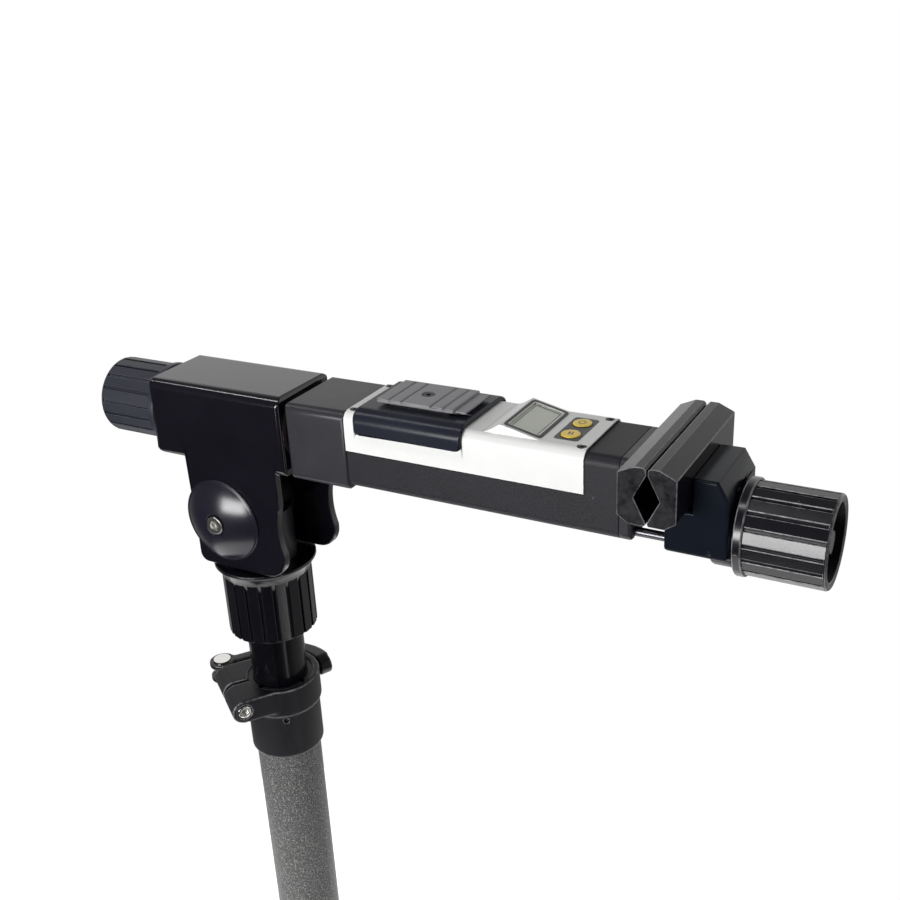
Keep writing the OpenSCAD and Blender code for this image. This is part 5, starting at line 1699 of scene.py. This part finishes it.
@dataclass(frozen=True)
class Studio:
    """Floor, a white wall behind, a dim room in front, a window, a ceiling lamp and a strip for gloss alone.

    The floor's sizes are in millimetres, the lamps' in metres. The spans are parts of the view direction's Y
    or Z over which one level of light changes to another.
    """

    floor_radius: float = 1000.0
    floor_t: float = 10.0
    floor_edge: float = 4.0
    floor_drop: float = 0.3
    floor_colour: Colour = (240, 240, 238)
    floor_roughness: float = 0.9
    floor_level: float = 0.85
    wall_span: Point = (-0.25, 0.4)
    wall_level: float = 0.92
    room_level: float = 0.09
    zenith_span: Point = (0.45, 0.85)
    zenith_dim: float = 0.2
    ground_span: Point = (-0.45, -0.05)
    ground_dim: float = 0.35
    target: Corner = (0.1, 0.0, 1.08)
    lamps: tuple[Lamp, ...] = (
        Lamp("window", (-0.25, -2.3, 1.2), (1.5, 0.7), 58.0),
        Lamp("ceiling", (-0.5, -0.55, 2.6), (1.6, 0.11), 8.0),
        Lamp("side_strip", (1.3, -0.47, 0.42), (0.9, 0.07), 0.7, along=(0.0, 0.0, 1.0), gloss_only=True))

    def build(self) -> None:
        """Make the floor, the world and the lamps."""
        bpy.context.scene.view_settings.view_transform = "Standard"
        self._floor()
        self._world()
        for lamp in self.lamps:
            lamp.hang(Vector(self.target))

    def _floor(self) -> None:
        """Make a pale floor that stays white for the camera and for reflections."""
        profile = rounded_path([(0, 0, 0), (self.floor_radius, 0, self.floor_edge),
                                (self.floor_radius, -self.floor_t, self.floor_edge), (0, -self.floor_t, 0)],
                               closed=False)
        floor = Draft().lathe(profile, Matrix.Translation((0, 0, -self.floor_drop))).finish("floor")
        made = bpy.data.materials.new("pale_floor")
        made.use_nodes = True
        nodes = NodeDraft(made.node_tree)
        path = nodes.node("ShaderNodeLightPath").outputs
        reflected = nodes.math("MAXIMUM", path["Is Glossy Ray"], path["Is Transmission Ray"])
        seen = nodes.math("MAXIMUM", path["Is Camera Ray"], reflected)
        glow = nodes.math("MULTIPLY", seen, self.floor_level)
        settings = {"Base Color": linear(self.floor_colour), "Roughness": self.floor_roughness,
                    "Emission Color": WHITE, "Emission Strength": glow}
        for key, value in settings.items():
            nodes.feed(made.node_tree.nodes["Principled BSDF"].inputs[key], value)
        floor.data.materials.append(made)

    def _world(self) -> None:
        """White for the camera, and for the light a bright wall towards +Y and a dim room towards -Y."""
        world = bpy.data.worlds.new("studio")
        bpy.context.scene.world = world
        world.use_nodes = True
        nodes = NodeDraft(world.node_tree)
        view = nodes.node("ShaderNodeTexCoord").outputs["Generated"]
        direction = nodes.node("ShaderNodeSeparateXYZ", Vector=view).outputs
        wall = self._change(nodes, direction["Y"], self.wall_span, (self.room_level, self.wall_level))
        zenith = self._change(nodes, direction["Z"], self.zenith_span, (1.0, self.zenith_dim))
        ground = self._change(nodes, direction["Z"], self.ground_span, (self.ground_dim, 1.0))
        level = nodes.math("MULTIPLY", nodes.math("MULTIPLY", wall, zenith), ground)
        camera_ray = nodes.node("ShaderNodeLightPath").outputs["Is Camera Ray"]
        background = world.node_tree.nodes["Background"].inputs
        nodes.feed(background["Color"], WHITE)
        nodes.feed(background["Strength"], nodes.math("MAXIMUM", level, camera_ray))

    @staticmethod
    def _change(nodes: NodeDraft, part: bpy.types.NodeSocket, span: Point,
                levels: Point) -> bpy.types.NodeSocket:
        """A level of light that changes softly with the view direction.

        Args:
            nodes: The world's draft.
            part: Part of the view direction.
            span: Where the change starts and ends.
            levels: Levels before and after it.

        Returns:
            Socket with the level.
        """
        made = nodes.node("ShaderNodeMapRange", interpolation_type="SMOOTHSTEP", Value=part, From_Min=span[0],
                          From_Max=span[1], To_Min=levels[0], To_Max=levels[1])
        return made.outputs["Result"]


class Solids:
    """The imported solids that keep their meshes."""

    edge_mm: dict[str, float] = {
        "arm_root": 0.8, "moving_jaw": 1.8, "shoe_plate": 0.5, "cover_screws": 0.15, "end_block": 0.8,
        "friction_disc": 0.4, "leg_hub": 0.6, "leg_slider": 0.6,
        **dict.fromkeys(("strut_1", "strut_2", "strut_3"), 0.5),
        "hand_screw": 0.6, "knuckle": 0.6, "pivot_bolt": 0.3, "clamp_bolt": 0.3, "shoe_screw": 0.2}
    own_look: dict[str, Look] = {
        "moving_jaw": Look.JAW_CASTING, "shoe_screw": Look.SHOE_SCREW, "barrel_pin": Look.RIVET}

    def __init__(self, frame: dict) -> None:
        """Read which finish each solid takes from the record.

        Args:
            frame: What the frame's loading gave.
        """
        self.nodes = frame["nodes"]
        self.slots = {part["node"]: part["material_slot"] for part in frame["record"]["subparts"]}
        self.looks = {look.value.slot: look for look in Look if look.value.variant == "finish"}

    def dress(self) -> None:
        """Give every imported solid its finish, and soft edges where it has a width for them."""
        for name, piece in self.nodes.items():
            dress(piece, self.own_look.get(name, self.looks[self.slots[name]]))
            smooth(piece)
            if name in self.edge_mm:
                weld(piece)
                soften(piece, self.edge_mm[name])
            LOG.info("dressed %s", name)


def main() -> None:
    """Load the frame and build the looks."""
    logging.basicConfig(level=logging.INFO, format="%(name)s: %(message)s")
    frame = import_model()
    Studio().build()
    Viewpoint().place()
    Solids(frame).dress()
    hump, buttons = DisplayHump(), ScaleButtons()
    display = ScaleDisplay(hump)
    for assembly in (HandKnob("rear_knob", "rear_knob_nut", Look.KNOB, Axis.MINUS_X),
                     HandKnob("jaw_knob", "jaw_knob_nut", Look.JAW_KNOB, Axis.X, turn=7.0),
                     ForkHead(), LockCollar(), PivotCaps(), JawPads(),
                     ScaleCover(hump, (display.opening(), buttons.opening())), display, buttons,
                     ShoeSaddle(), ClampScrew(), MastClamp()):
        assembly.build()


if __name__ == "__main__":
    main()
